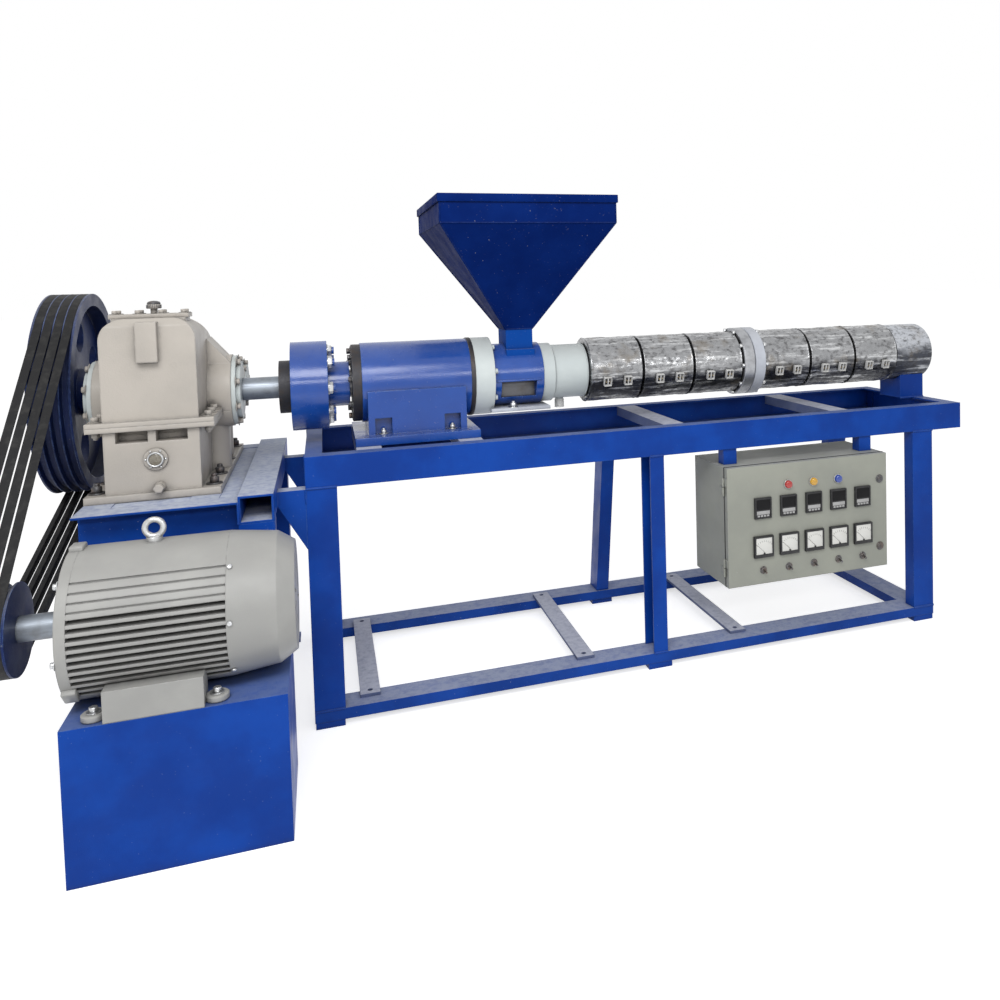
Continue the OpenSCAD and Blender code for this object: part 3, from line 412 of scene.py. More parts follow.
class Finish(Enum):
    """Finishes of the machine."""

    # On the blue paints the edge colour matches the lit edges: a painted edge highlight as well as paint worn
    # thin.
    FRAME_BLUE = Paint("frame_blue", (0.004, 0.058, 0.36), (0.003, 0.038, 0.26), (0.09, 0.20, 0.50),
                       dust=(0.20, 0.26, 0.40), dust_cover=0.5, shine=0.14)
    DUSTY_BLUE = Paint("frame_blue", (0.008, 0.060, 0.34), (0.005, 0.040, 0.24), (0.16, 0.24, 0.48),
                       dust=(0.38, 0.42, 0.54), dust_cover=0.85, rough=0.45, shine=0.14)
    SHADED_BLUE = Paint("frame_blue", (0.006, 0.062, 0.36), (0.004, 0.040, 0.25), (0.10, 0.20, 0.46),
                        dust=(0.52, 0.56, 0.64), dust_cover=0.95, rough=0.42, shine=0.14)
    LILAC_DUST = Paint("frame_blue", (0.14, 0.17, 0.29), (0.09, 0.12, 0.25), (0.38, 0.40, 0.50),
                       dust=(0.54, 0.56, 0.65), dust_cover=0.95, rough=0.5, shine=0.14)
    HOUSING_BLUE = Paint("housing_blue", (0.005, 0.068, 0.355), (0.004, 0.052, 0.29), (0.12, 0.26, 0.56),
                         dust_cover=0.1, rough=0.19, shine=0.6, edge=0.004, relief=0.00015)
    # The main colour is painted shade on the down-facing cone; the foot colour below foot_top is the paint's
    # own blue.
    HOPPER_BLUE = Paint("hopper_blue", (0.003, 0.020, 0.145), (0.002, 0.013, 0.105), (0.04, 0.09, 0.28),
                        rough=0.5, shine=0.012, foot=(0.006, 0.060, 0.31), foot_top=1.158)
    NAVY = Paint("hopper_blue", (0.006, 0.022, 0.12), (0.004, 0.012, 0.06), (0.14, 0.24, 0.52), rough=0.4,
                 shine=0.2, wear_and_highlight=0.8)
    GEARBOX = Paint("gearbox_paint", (0.495, 0.458, 0.412), (0.43, 0.40, 0.362), (0.70, 0.68, 0.64),
                    dust=(0.40, 0.37, 0.33), rough=0.34, edge=0.007, relief=0.0005, grain=260.0, grime_and_shade=0.8)
    MOTOR = Paint("motor_paint", (0.385, 0.385, 0.37), (0.325, 0.325, 0.315), (0.58, 0.58, 0.57),
                  dust=(0.36, 0.35, 0.33), rough=0.34, edge=0.004, grime_and_shade=0.5)
    CREAM = Paint("cream_paint", (0.64, 0.69, 0.68), (0.54, 0.59, 0.59), (0.74, 0.76, 0.76),
                  dust=(0.42, 0.41, 0.38), rough=0.38)
    FLANGE = Paint("cream_paint", (0.56, 0.59, 0.65), (0.42, 0.44, 0.49), (0.68, 0.70, 0.73),
                   dust=(0.40, 0.40, 0.40), rough=0.36, wear_and_highlight=0.7)
    CABINET = Paint("cabinet_paint", (0.335, 0.345, 0.30), (0.29, 0.30, 0.265), (0.50, 0.50, 0.47),
                    dust=(0.46, 0.46, 0.43), dust_cover=0.4, rough=0.40, grain=700.0, edge=0.005, grime_and_shade=0.6)
    STEEL = Metal("bare_steel", (0.27, 0.30, 0.34), (0.16, 0.16, 0.16), rough=0.42, metallic=0.8,
                  along=(0.05, 1.0, 1.0))
    SCREW = Metal("bare_steel", (0.42, 0.42, 0.43), (0.22, 0.19, 0.15), rough=0.3)
    IRON = Metal("dark_iron", (0.035, 0.035, 0.04), (0.07, 0.045, 0.03), rough=0.5, metallic=0.5)
    # BAND and HEAD: the second colour is the painted shade and dark reflection below shade_z; the bright
    # colour, HEAD's fourth value, is the painted highlight.
    BAND = BandSheet("band_sheet", (0.33, 0.335, 0.345), (0.035, 0.037, 0.045), 1.012)
    HEAD = BandSheet("band_sheet", (0.52, 0.54, 0.58), (0.06, 0.065, 0.08), 1.052, (0.62, 0.64, 0.67),
                     rough=0.42)
    COLLAR = Metal("band_sheet", (0.42, 0.43, 0.45), (0.16, 0.16, 0.17), rough=0.36)
    # Dark grey partly painted as the shade inside the throat's window.
    POCKET = Metal("dark_iron", (0.13, 0.13, 0.135), (0.07, 0.06, 0.05), rough=0.5, metallic=0.4)
    ZINC = Metal("zinc", (0.62, 0.63, 0.64), (0.34, 0.32, 0.28), rough=0.30, stain_cover=0.4)
    BOLT = Metal("dark_iron", (0.10, 0.10, 0.105), (0.16, 0.09, 0.05), rough=0.42, metallic=0.8)
    BRASS = Metal("zinc", (0.62, 0.46, 0.20), (0.30, 0.20, 0.10), rough=0.32)
    RUBBER = Moulded("belt_rubber", (0.012, 0.012, 0.013), (0.045, 0.044, 0.042), rough=0.62, shine=0.25)
    BLACK = Moulded("black_plastic", (0.016, 0.016, 0.018), (0.05, 0.05, 0.052), rough=0.38)
    CERAMIC = Moulded("band_sheet", (0.60, 0.60, 0.59), (0.44, 0.43, 0.41), rough=0.4)
    DIAL = Moulded("black_plastic", (0.72, 0.72, 0.69), (0.62, 0.62, 0.58), rough=0.45)
    LABEL = Moulded("black_plastic", (0.40, 0.40, 0.40), (0.30, 0.30, 0.30), rough=0.45)
    RED_LENS = Lens("lamp_plastic", (0.55, 0.02, 0.015), (0.30, 0.008, 0.006))
    YELLOW_LENS = Lens("lamp_plastic", (0.75, 0.42, 0.02), (0.48, 0.24, 0.01))
    BLUE_LENS = Lens("lamp_plastic", (0.015, 0.08, 0.45), (0.008, 0.03, 0.24))
    SIGHT = Lens("lamp_plastic", (0.26, 0.24, 0.19), (0.14, 0.12, 0.09))
    SCREEN = Lens("black_plastic", (0.009, 0.009, 0.010), (0.005, 0.005, 0.006), rough=0.42, shine=0.15,
                  coat=0.0)

    def material(self) -> bpy.types.Material:
        """The finish's one material, made on first use."""
        name = f"{self.name.lower()}_finish"
        return bpy.data.materials.get(name) or self.value.make(name)


def dress(finish: Finish, *nodes: str) -> None:
    """Gives CAD nodes a finish."""
    for name in nodes:
        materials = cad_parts[name].data.materials
        materials.clear()
        materials.append(finish.material())


class Shape:
    """A small mesh made with bmesh operators, standing on the XY plane until it is placed."""

    def __init__(self) -> None:
        """Starts with an empty mesh."""
        self.bm = bmesh.new()

    def soften(self, amount: float, steps: int = 2, least: float = 0.6) -> "Shape":
        """Bevels the edges that turn by more than an angle.

        Args:
            amount: Width of the bevel.
            steps: Segments across it.
            least: Smallest angle between faces, in radians.

        Returns:
            The shape itself.
        """
        self.bm.normal_update()
        sharp = [e for e in self.bm.edges if len(e.link_faces) == 2 and e.calc_face_angle(0.0) > least]
        bmesh.ops.bevel(self.bm, geom=sharp, offset=amount, offset_type="OFFSET", segments=steps,
                        profile=0.5, affect="EDGES", clamp_overlap=True, material=-1)
        return self

    @classmethod
    def block(cls, wide: float, deep: float, tall: float, soft: float = 0.0) -> "Shape":
        """Box with its base on the plane, centred on Z, with soft edges."""
        shape = cls()
        bmesh.ops.create_cube(shape.bm, size=1.0)
        bmesh.ops.translate(shape.bm, verts=shape.bm.verts, vec=(0.0, 0.0, 0.5))
        bmesh.ops.scale(shape.bm, verts=shape.bm.verts, vec=(wide, deep, tall))
        return shape.soften(soft) if soft else shape

    @classmethod
    def disc(cls, radius: float, tall: float, soft: float = 0.0, sides: int = 24) -> "Shape":
        """Round or many-sided disc with its base on the plane and a soft rim."""
        shape = cls()
        bmesh.ops.create_cone(shape.bm, cap_ends=True, segments=sides, radius1=radius, radius2=radius,
                              depth=tall)
        bmesh.ops.translate(shape.bm, verts=shape.bm.verts, vec=(0.0, 0.0, tall / 2.0))
        return shape.soften(soft, 1) if soft else shape

    @classmethod
    def lathe(cls, outline: Sequence[tuple[float, float]], steps: int = 48, closed: bool = True,
              sweep: float = TURN) -> "Shape":
        """Solid of revolution about Z.

        Args:
            outline: Radius and height of each point of the section.
            steps: Faces round the axis.
            closed: Whether the section is a ring that runs back to its start.
            sweep: Angle that the section is swept through.

        Returns:
            The new shape.
        """
        shape = cls()
        verts = [shape.bm.verts.new((radius, 0.0, height)) for radius, height in outline]
        pairs = list(zip(verts, verts[1:]))
        if closed:
            pairs.append((verts[-1], verts[0]))
        edges = [shape.bm.edges.new(pair) for pair in pairs]
        bmesh.ops.spin(shape.bm, geom=verts + edges, cent=(0.0, 0.0, 0.0), axis=(0.0, 0.0, 1.0),
                       angle=sweep, steps=steps, use_merge=sweep == TURN)
        if sweep != TURN:
            bmesh.ops.holes_fill(shape.bm, edges=[e for e in shape.bm.edges if e.is_boundary], sides=0)
        bmesh.ops.remove_doubles(shape.bm, verts=shape.bm.verts, dist=1e-6)
        bmesh.ops.recalc_face_normals(shape.bm, faces=shape.bm.faces)
        return shape

    @classmethod
    def bead(cls, length: float, radius: float, ripple: float = 0.0055) -> "Shape":
        """Weld bead along X, with the ripples that the weld pool leaves."""
        shape = cls()
        bmesh.ops.create_cone(shape.bm, cap_ends=True, segments=6, radius1=radius, radius2=radius,
                              depth=length)
        bmesh.ops.rotate(shape.bm, verts=shape.bm.verts, matrix=Matrix.Rotation(math.pi / 2, 3, "Y"))
        long_edges = [e for e in shape.bm.edges if abs(e.verts[0].co.x - e.verts[1].co.x) > length / 2]
        bmesh.ops.subdivide_edges(shape.bm, edges=long_edges, cuts=max(2, int(2 * length / ripple)))
        for vert in shape.bm.verts:
            swell = 0.85 + 0.15 * math.cos(TURN * vert.co.x / ripple)
            vert.co.y *= swell
            vert.co.z *= swell
        return shape

    @classmethod
    def ring_bead(cls, radius: float, thick: float) -> "Shape":
        """Weld bead round a circle."""
        angles = [TURN * i / 6 for i in range(6)]
        section = [(radius + thick * math.cos(a), thick * math.sin(a)) for a in angles]
        return cls.lathe(section, 96)

    @classmethod
    def border(cls, wide: float, deep: float, bar: float, tall: float, soft: float = 0.0) -> "Shape":
        """Flat oblong frame on the plane, with bars of one width."""
        shape = cls()
        bmesh.ops.create_grid(shape.bm, x_segments=1, y_segments=1, size=0.5)
        bmesh.ops.scale(shape.bm, verts=shape.bm.verts, vec=(wide, deep, 1.0))
        middle = shape.bm.faces[:]
        bmesh.ops.inset_region(shape.bm, faces=middle, thickness=bar, use_even_offset=True,
                               use_boundary=True)
        bmesh.ops.delete(shape.bm, geom=middle, context="FACES")
        up = bmesh.ops.extrude_face_region(shape.bm, geom=shape.bm.faces[:])["geom"]
        raised = [item for item in up if isinstance(item, bmesh.types.BMVert)]
        bmesh.ops.translate(shape.bm, verts=raised, vec=(0.0, 0.0, tall))
        bmesh.ops.recalc_face_normals(shape.bm, faces=shape.bm.faces)
        return shape.soften(soft) if soft else shape

    def recess(self, margin: float, depth: float) -> "Shape":
        """Sinks the top face inside a margin."""
        top = max(self.bm.faces, key=lambda face: face.calc_center_median().z)
        bmesh.ops.inset_region(self.bm, faces=[top], thickness=margin, depth=0.0)
        bmesh.ops.translate(self.bm, verts=top.verts, vec=(0.0, 0.0, -depth))
        return self

    def dented(self, depth: float, least: float, seed: float) -> "Shape":
        """Pushes the outer skin in and out from Z, as knocks and heat leave thin sheet.

        Args:
            depth: Largest push.
            least: Radius inside which nothing moves.
            seed: Offset into the noise.

        Returns:
            The shape itself.
        """
        for vert in self.bm.verts:
            out = Vector((vert.co.x, vert.co.y, 0.0))
            if out.length < least:
                continue
            spot = vert.co + Vector((0.0, 0.0, seed))
            push = 0.62 * noise.noise(spot * 24.0) + 0.38 * noise.noise(spot * 62.0)
            vert.co += out.normalized() * depth * (push - 0.25)
        return self

    def moved(self, matrix: Matrix) -> "Shape":
        """The shape after a move."""
        self.bm.transform(matrix)
        return self

    def with_(self, other: "Shape") -> "Shape":
        """The shape with another joined to it."""
        data = bpy.data.meshes.new("part")
        other.bm.to_mesh(data)
        other.bm.free()
        self.bm.from_mesh(data)
        bpy.data.meshes.remove(data)
        return self


def hex_bolt(across: float, tall: float | None = None, washer: bool = True) -> Shape:
    """Hexagon head with chamfered corners on a washer.

    Args:
        across: Width across the flats.
        tall: Height of the head, or the usual share of its width.
        washer: Whether there is one under the head.

    Returns:
        The bolt head, standing on the plane.
    """
    head = tall or across * 0.62
    base = across * 0.14 if washer else 0.0
    shape = Shape.disc(across / math.sqrt(3.0), head, across * 0.06, 6).moved(
        Matrix.Translation((0.0, 0.0, base)))
    return shape.with_(Shape.disc(across * 0.92, base, across * 0.03, 18)) if washer else shape


def stud_nut(across: float, spare: float) -> Shape:
    """Nut on a washer with the rounded end of its stud standing out."""
    nut = hex_bolt(across, across * 0.7)
    end = Shape.disc(across * 0.33, across * 0.84 + spare, across * 0.08, 12)
    return nut.with_(end)


def socket_screw(radius: float, tall: float) -> Shape:
    """Round screw head with a hexagon socket."""
    return Shape.disc(radius, tall, radius * 0.12, 18).recess(radius * 0.4, tall * 0.5)


def slot_screw(radius: float) -> Shape:
    """Small cheese-head screw with a slot across it."""
    shape = Shape.lathe([(0.0, 0.0), (radius, 0.0), (radius, radius * 0.5), (radius * 0.75, radius * 0.8),
                         (0.0, radius * 0.9)], 14, closed=False)
    slot = Shape.block(radius * 1.5, radius * 0.22, radius * 0.1)
    return shape.with_(slot.moved(Matrix.Translation((0.0, 0.0, radius * 0.84))))


class Piece:
    """A named mesh of one finish on one body, gathered from placed shapes."""

    def __init__(self, name: str, finish: Finish, body: Body = Body.FRAME) -> None:
        """Starts with an empty mesh."""
        self.name = name
        self.finish = finish
        self.body = body
        self.shape = Shape()

    def put(self, shape: Shape, *places: Matrix) -> None:
        """Adds a copy of a shape at each place."""
        data = bpy.data.meshes.new("part")
        shape.bm.to_mesh(data)
        shape.bm.free()
        for place in places:
            copy = data.copy()
            copy.transform(place)
            self.shape.bm.from_mesh(copy)
            bpy.data.meshes.remove(copy)
        bpy.data.meshes.remove(data)

    def weld(self, start: Vector, end: Vector, radius: float = 0.004) -> None:
        """Lays a weld bead from one point to another."""
        line = end - start
        turn = line.to_track_quat("X", "Z").to_matrix().to_4x4()
        self.put(Shape.bead(line.length, radius), Matrix.Translation((start + end) / 2) @ turn)

    def settle(self, crease: float = 0.6, replaces: Iterable[str] = ()) -> None:
        """Makes the object, rides it on its body and reports it.

        Args:
            crease: Angle in radians above which an edge stays sharp.
            replaces: CAD nodes that the piece stands for.
        """
        bmesh.ops.recalc_face_normals(self.shape.bm, faces=self.shape.bm.faces)
        data = bpy.data.meshes.new(self.name)
        self.shape.bm.to_mesh(data)
        self.shape.bm.free()
        data.shade_smooth()
        data.set_sharp_from_angle(angle=crease)
        data.materials.append(self.finish.material())
        piece = bpy.data.objects.new(self.name, data)
        bpy.context.scene.collection.objects.link(piece)
        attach(piece, self.body.value)
        for node in replaces:
            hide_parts(node)
        LOG.info("%s: %d faces on %s", self.name, len(data.polygons), self.body.value)


def lay(name: str, finish: Finish, shape: Shape, *places: Matrix, body: Body = Body.FRAME,
        crease: float = 0.6, replaces: Iterable[str] = ()) -> None:
    """Makes a piece of one shape at one or more places.

    Args:
        name: Name of the piece.
        finish: Its finish.
        shape: The shape.
        places: Where it stands.
        body: CAD body that it rides on.
        crease: Angle in radians above which an edge stays sharp.
        replaces: CAD nodes that the piece stands for.
    """
    piece = Piece(name, finish, body)
    piece.put(shape, *places)
    piece.settle(crease, replaces)


def shifted(places: Iterable[Matrix], *moves: tuple[float, float, float]) -> list[Matrix]:
    """Each place after each move along its own axes."""
    return [place @ Matrix.Translation(move) for place in places for move in moves]


def circle_places(centre: Vector, radius: float, count: int, way: Way, start: float = 0.0) -> list[Matrix]:
    """Places round a circle that is square to X.

    Args:
        centre: Centre of the circle.
        radius: Its radius.
        count: How many places.
        way: Direction that the shapes point, left or right.
        start: Angle of the first from the top, in radians.

    Returns:
        One matrix a place.
    """
    angles = [start + TURN * i / count for i in range(count)]
    return [facing(centre + Vector((0.0, math.sin(a), math.cos(a))) * radius, way, a) for a in angles]


@dataclass
class Table:
    """Welded channel table that carries the barrel line and the cabinet."""

    length: float = 2.360
    depth: float = 0.590
    foot_depth: float = 0.730
    rail_low: float = 0.725
    rail_top: float = 0.820
    leg_low: float = 0.054
    channel: float = 0.050
    wall: float = 0.006
    legs: tuple[float, ...] = (0.0, 1.084, 2.140)
    leg_widths: tuple[float, ...] = (0.088, 0.050, 0.088)
    ties: tuple[float, ...] = (0.132, 0.826, 1.392)
    tie_wide: float = 0.060
    hanger_wide: float = 0.050
    bead: float = 0.0045
    thin_bead: float = 0.003
    bead_short: float = 0.002
    slack: float = 0.0003

    def dress(self) -> None:
        """Paints the table's CAD nodes."""
        dress(Finish.FRAME_BLUE, "top_rails", "top_end_rails", "front_legs", "rear_legs", "barrel_post",
              "cabinet_hangers", "table_feet")
        dress(Finish.DUSTY_BLUE, "bottom_rails")
        dress(Finish.LILAC_DUST, "bottom_ties", "top_cross_bars")

    def build(self) -> None:
        """Welds the legs, end rails, ties, post and hangers, and closes the rails' ends."""
        welds = Piece("table_welds", Finish.FRAME_BLUE)
        for left, wide in zip(self.legs, self.leg_widths):
            for y, z in ((0.0, self.rail_low), (0.0, self.leg_low), (self.depth, self.rail_low),
                         (self.foot_depth, self.leg_low)):
                welds.weld(at(left, y, z), at(left + wide, y, z), self.bead)
        for x in (0.0, self.length):
            for y in (self.channel, self.depth - self.channel):
                welds.weld(at(x, y, self.rail_low + self.bead_short),
                           at(x, y, self.rail_top - self.bead_short), self.bead)
        for left in self.ties:
            for y in (self.channel, self.foot_depth - self.channel):
                welds.weld(at(left, y, self.leg_low), at(left + self.tie_wide, y, self.leg_low),
                           self.thin_bead)
        low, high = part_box("barrel_post")
        for y in (low.y, high.y):
            welds.weld(Vector((low.x, y, low.z)), Vector((high.x, y, low.z)), self.bead)
        low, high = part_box("cabinet_hangers")
        for x in (low.x, high.x - self.hanger_wide):
            welds.weld(Vector((x, low.y, high.z)), Vector((x + self.hanger_wide, low.y, high.z)),
                       self.thin_bead)
        welds.settle()
        self.end_plates()

    def end_plates(self) -> None:
        """Closes the open ends of the top rails with plates set just inside them."""
        inside = self.channel - self.wall
        aside = self.wall + inside / 2
        tall = self.rail_top - self.rail_low - 2 * self.wall
        lay("rail_end_plates", Finish.FRAME_BLUE,
            Shape.block(self.wall, inside - 2 * self.slack, tall - 2 * self.slack),
            *[Matrix.Translation(at(x, y, self.rail_low + self.wall + self.slack))
              for x in (self.wall, self.length - self.wall) for y in (aside, self.depth - aside)])


@dataclass
class Pedestal:
    """Channel pedestal under the gearbox and the box under the motor."""

    link_left: float = -0.168
    link_right: float = -0.078
    link_low: float = 0.683
    rail_low: float = 0.725
    table_depth: float = 0.590
    bracket: float = 0.050
    bracket_bead: float = 0.0035
    post: float = 0.095
    plate_top: float = 0.012
    anchor: float = 0.019
    anchor_x: float = 0.112
    anchor_y: float = 0.028
    cover_in: tuple[float, float] = (0.002, 0.010)
    cover_thick: float = 0.006
    cover_drop: float = 0.0075

    def dress(self) -> None:
        """Paints the pedestal's CAD nodes."""
        dress(Finish.SHADED_BLUE, "pedestal_beams", "pedestal_cross_beams")
        dress(Finish.FRAME_BLUE, "pedestal_posts", "motor_base")

    def build(self) -> None:
        """Welds posts, link and brackets, lays the cover and bolts the left posts to the floor."""
        welds = Piece("pedestal_welds", Finish.FRAME_BLUE)
        low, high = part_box("pedestal_posts")
        beam_low, beam_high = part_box("pedestal_beams")
        left = at(self.link_left, 0.0, 0.0).x
        for y in (low.y, high.y):
            welds.weld(Vector((low.x, y, beam_low.z)), Vector((low.x + self.post, y, beam_low.z)))
        for front in (0.0, self.table_depth - self.bracket):
            for x in (self.link_right, 0.0):
                welds.weld(at(x, front, self.link_low), at(x, front, self.rail_low), self.bracket_bead)
        for y in (beam_low.y, beam_high.y):
            welds.weld(Vector((left, y, self.link_low)), Vector((left, y, beam_high.z)))
        welds.settle()
        in_x, in_y = self.cover_in
        wide = left - beam_low.x - 2 * in_x
        deep = beam_high.y - beam_low.y - 2 * in_y
        lay("pedestal_cover", Finish.SHADED_BLUE, Shape.block(wide, deep, self.cover_thick, 0.001),
            Matrix.Translation((beam_low.x + in_x + wide / 2, (beam_low.y + beam_high.y) / 2,
                                beam_high.z - self.cover_drop)))
        lay("pedestal_anchors", Finish.BOLT, stud_nut(self.anchor, 0.012),
            *[facing(Vector((low.x + self.anchor_x, y, self.plate_top)), Way.UP)
              for y in (low.y + self.anchor_y, high.y - self.anchor_y)])


@dataclass
class Gearbox:
    """Two-part cast gearbox with its bolts, caps and fittings."""

    middle: float = -0.390
    wall: float = 0.119
    boss_face: float = 0.185
    foot_top: float = 0.764
    split_top: float = 0.962
    split_low: float = 0.936
    cap_step: float = 0.0125
    flange_bolt: float = 0.019
    cap_bolt: float = 0.017
    foot_bolt: float = 0.024
    lid_bolt: float = 0.014
    flange_out: float = 0.021
    flange_rows: tuple[float, ...] = (0.004, 0.072, 0.140, 0.598, 0.665)
    foot_out: float = 0.028
    foot_rows: tuple[float, ...] = (0.018, 0.160, 0.400, 0.640)
    lid_in: tuple[float, float] = (0.014, 0.013)
    lid_shares: tuple[float, ...] = (0.0, 0.33, 0.67, 1.0)
    output_circle: float = 0.0995
    input_circle: float = 0.0705
    sight_z: float = 0.8547
    sight_y: float = -0.033
    sight_radius: float = 0.0165
    off_middle: float = 0.008

    def dress(self) -> None:
        """Paints the gearbox's CAD nodes."""
        dress(Finish.GEARBOX, "gearbox_lower_case", "gearbox_upper_cover", "inspection_cover",
              "gearbox_fittings")
        dress(Finish.CREAM, "bearing_caps")

    def build(self) -> None:
        """Adds bolts, nuts, the breather's cap and the oil sight."""
        self.bolts()
        self.breather()
        self.sight()

    def bolts(self) -> None:
        """Bolts the split flange, lid, caps and feet."""
        bolts = Piece("gearbox_bolts", Finish.GEARBOX)
        sides = [self.middle + side * (self.wall + self.flange_out) for side in (-1, 1)]
        flange = [(x, y) for x in sides for y in self.flange_rows]
        bolts.put(hex_bolt(self.flange_bolt),
                  *[facing(at(x, y, self.split_top), Way.UP, y) for x, y in flange])
        bolts.put(stud_nut(self.flange_bolt, 0.006),
                  *[facing(at(x, y, self.split_low), Way.DOWN, x) for x, y in flange])
        low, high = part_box("inspection_cover")
        in_x, in_y = self.lid_in
        reach = high.x - low.x - 2 * in_x
        lid = [Vector((low.x + in_x + reach * share, y, high.z)) for share in self.lid_shares
               for y in (low.y + in_y, high.y - in_y)]
        bolts.put(hex_bolt(self.lid_bolt), *[facing(spot, Way.UP, 0.3) for spot in lid])
        for y, radius, count in ((AXIS_Y, self.output_circle, 8), (INPUT_Y, self.input_circle, 6)):
            for way, side in ((Way.LEFT, -1), (Way.RIGHT, 1)):
                face = self.middle + side * (self.boss_face + self.cap_step)
                bolts.put(hex_bolt(self.cap_bolt),
                          *circle_places(at(face, y, AXIS_Z), radius, count, way, 0.35))
        bolts.settle()
        feet = [at(self.middle + side * (self.wall + self.foot_out), y, self.foot_top)
                for side in (-1, 1) for y in self.foot_rows]
        lay("gearbox_foot_bolts", Finish.BOLT, stud_nut(self.foot_bolt, 0.010),
            *[facing(foot, Way.UP) for foot in feet])

    def breather(self) -> None:
        """Caps the breather with a knurled dome."""
        low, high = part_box("inspection_cover")
        _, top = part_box("gearbox_fittings")
        cap = Piece("breather_cap", Finish.BOLT)
        place = Vector(((low.x + high.x) / 2 + self.off_middle, (low.y + high.y) / 2, top.z))
        cap.put(Shape.lathe([(0.0, 0.0), (0.0165, 0.0), (0.0175, 0.003), (0.0150, 0.007), (0.008, 0.0095),
                             (0.0, 0.0102)], 32, closed=False), Matrix.Translation(place))
        cap.put(Shape.block(0.0016, 0.003, 0.010, 0.0004),
                *[Matrix.Translation(place) @ Matrix.Rotation(TURN * i / 24, 4, "Z")
                  @ Matrix.Translation((0.0, 0.018, -0.011)) for i in range(24)])
        cap.settle()

    def sight(self) -> None:
        """Glazes the oil sight and seats its ring."""
        place = facing(at(self.middle + self.off_middle, self.sight_y, self.sight_z), Way.FRONT)
        radius = self.sight_radius
        lay("oil_sight", Finish.SIGHT,
            Shape.lathe([(0.0, 0.0), (radius, 0.0), (radius, 0.001), (0.010, 0.0028), (0.0, 0.0034)], 32,
                        closed=False), place)
        ring = Piece("oil_sight_ring", Finish.ZINC)
        ring.put(Shape.lathe([(radius, 0.0), (0.0208, 0.0), (0.0208, 0.0025), (0.0190, 0.0040),
                              (radius, 0.0034)], 32), place)
        ring.put(slot_screw(0.0028), *[place @ Matrix.Rotation(TURN * i / 6, 4, "Z")
                                       @ Matrix.Translation((0.025, 0.0, -0.005)) for i in range(6)])
        ring.settle()


@dataclass
class Motor:
    """Foot-mounted motor with fins, end shield and fan cowl."""

    shield_face: float = -0.5145
    shield_back: float = -0.492
    seam: float = -0.163
    radius: float = 0.174
    base_top: float = 0.358
    foot_left: float = -0.4285
    foot_right: float = -0.2230
    foot_y: float = 0.139
    lug_out: float = 0.024
    lug_tall: float = 0.016
    shield_bolt: float = 0.013
    shield_circle: float = 0.166
    cowl_screw: float = 0.006
    cowl_angles: tuple[float, ...] = (0.8, 2.35, 3.93, 4.75, 5.5)
    foot_bolt: float = 0.017
    pads: tuple[tuple[float, float, float], ...] = ((0.0, 0.0, 1.0), (0.0, -0.71, -0.71), (0.0, 0.71, -0.71))

    def dress(self) -> None:
        """Paints the motor's CAD nodes."""
        dress(Finish.MOTOR, "motor_body", "motor_end_shield", "fan_cowl")
        dress(Finish.ZINC, "lifting_eye")

    def build(self) -> None:
        """Adds the shield's bolts and lugs, the cowl's screws and the foot lugs."""
        bolts = Piece("motor_bolts", Finish.ZINC)
        centre = at(self.shield_face, MOTOR_Y, MOTOR_Z)
        bolts.put(hex_bolt(self.shield_bolt), *circle_places(centre, self.shield_circle, 6, Way.LEFT, 0.3))
        for angle in self.cowl_angles:
            out = Vector((0.0, math.sin(angle), math.cos(angle)))
            spot = at(self.seam, MOTOR_Y, MOTOR_Z) + out * self.radius
            bolts.put(slot_screw(self.cowl_screw), facing(spot, out, angle))
        feet = [at(x, MOTOR_Y + side * self.foot_y, self.base_top)
                for x in (self.foot_left - self.lug_out, self.foot_right + self.lug_out) for side in (-1, 1)]
        lift = Vector((0.0, 0.0, self.lug_tall))
        bolts.put(hex_bolt(self.foot_bolt), *[facing(foot + lift, Way.UP, 0.4) for foot in feet])
        bolts.settle()
        lugs = Piece("motor_lugs", Finish.MOTOR)
        lugs.put(Shape.disc(0.026, self.lug_tall, 0.003, 28), *[Matrix.Translation(foot) for foot in feet])
        middle = (self.shield_face + self.shield_back) / 2 + 0.004
        lugs.put(Shape.block(0.030, 0.046, 0.018, 0.004),
                 *[facing(at(middle, MOTOR_Y, MOTOR_Z) + Vector(pad) * (self.radius - 0.008), Vector(pad))
                   for pad in self.pads])
        lugs.settle()


@dataclass
class BeltDrive:
    """V-belt drive at the far left."""

    face: float = -0.738
    flange: float = 0.006

    def dress(self) -> None:
        """Gives pulleys, belts and shafts their finishes."""
        dress(Finish.NAVY, "driven_pulley", "motor_pulley")
        dress(Finish.RUBBER, "v_belts")
        dress(Finish.STEEL, "input_shaft", "motor_shaft", "output_shaft")

    def build(self) -> None:
        """Adds the bushes that clamp both pulleys on their shafts."""
        for name, body, y, z, bore, radius in (
                ("driven_pulley_bush", Body.INPUT, INPUT_Y, AXIS_Z, 0.026, 0.060),
                ("motor_pulley_bush", Body.MOTOR, MOTOR_Y, MOTOR_Z, 0.030, 0.058)):
            bush = Piece(name, Finish.STEEL, body)
            centre = at(self.face, y, z)
            bush.put(Shape.lathe([(bore, 0.0), (radius, 0.0), (radius, 0.004), (radius - 0.003, self.flange),
                                  (bore, self.flange)], 40), facing(centre, Way.LEFT))
            face = centre - Vector((self.flange, 0.0, 0.0))
            bush.put(socket_screw(0.008, 0.007),
                     *circle_places(face, (bore + radius) / 2, 3, Way.LEFT, 0.5))
            bush.settle()


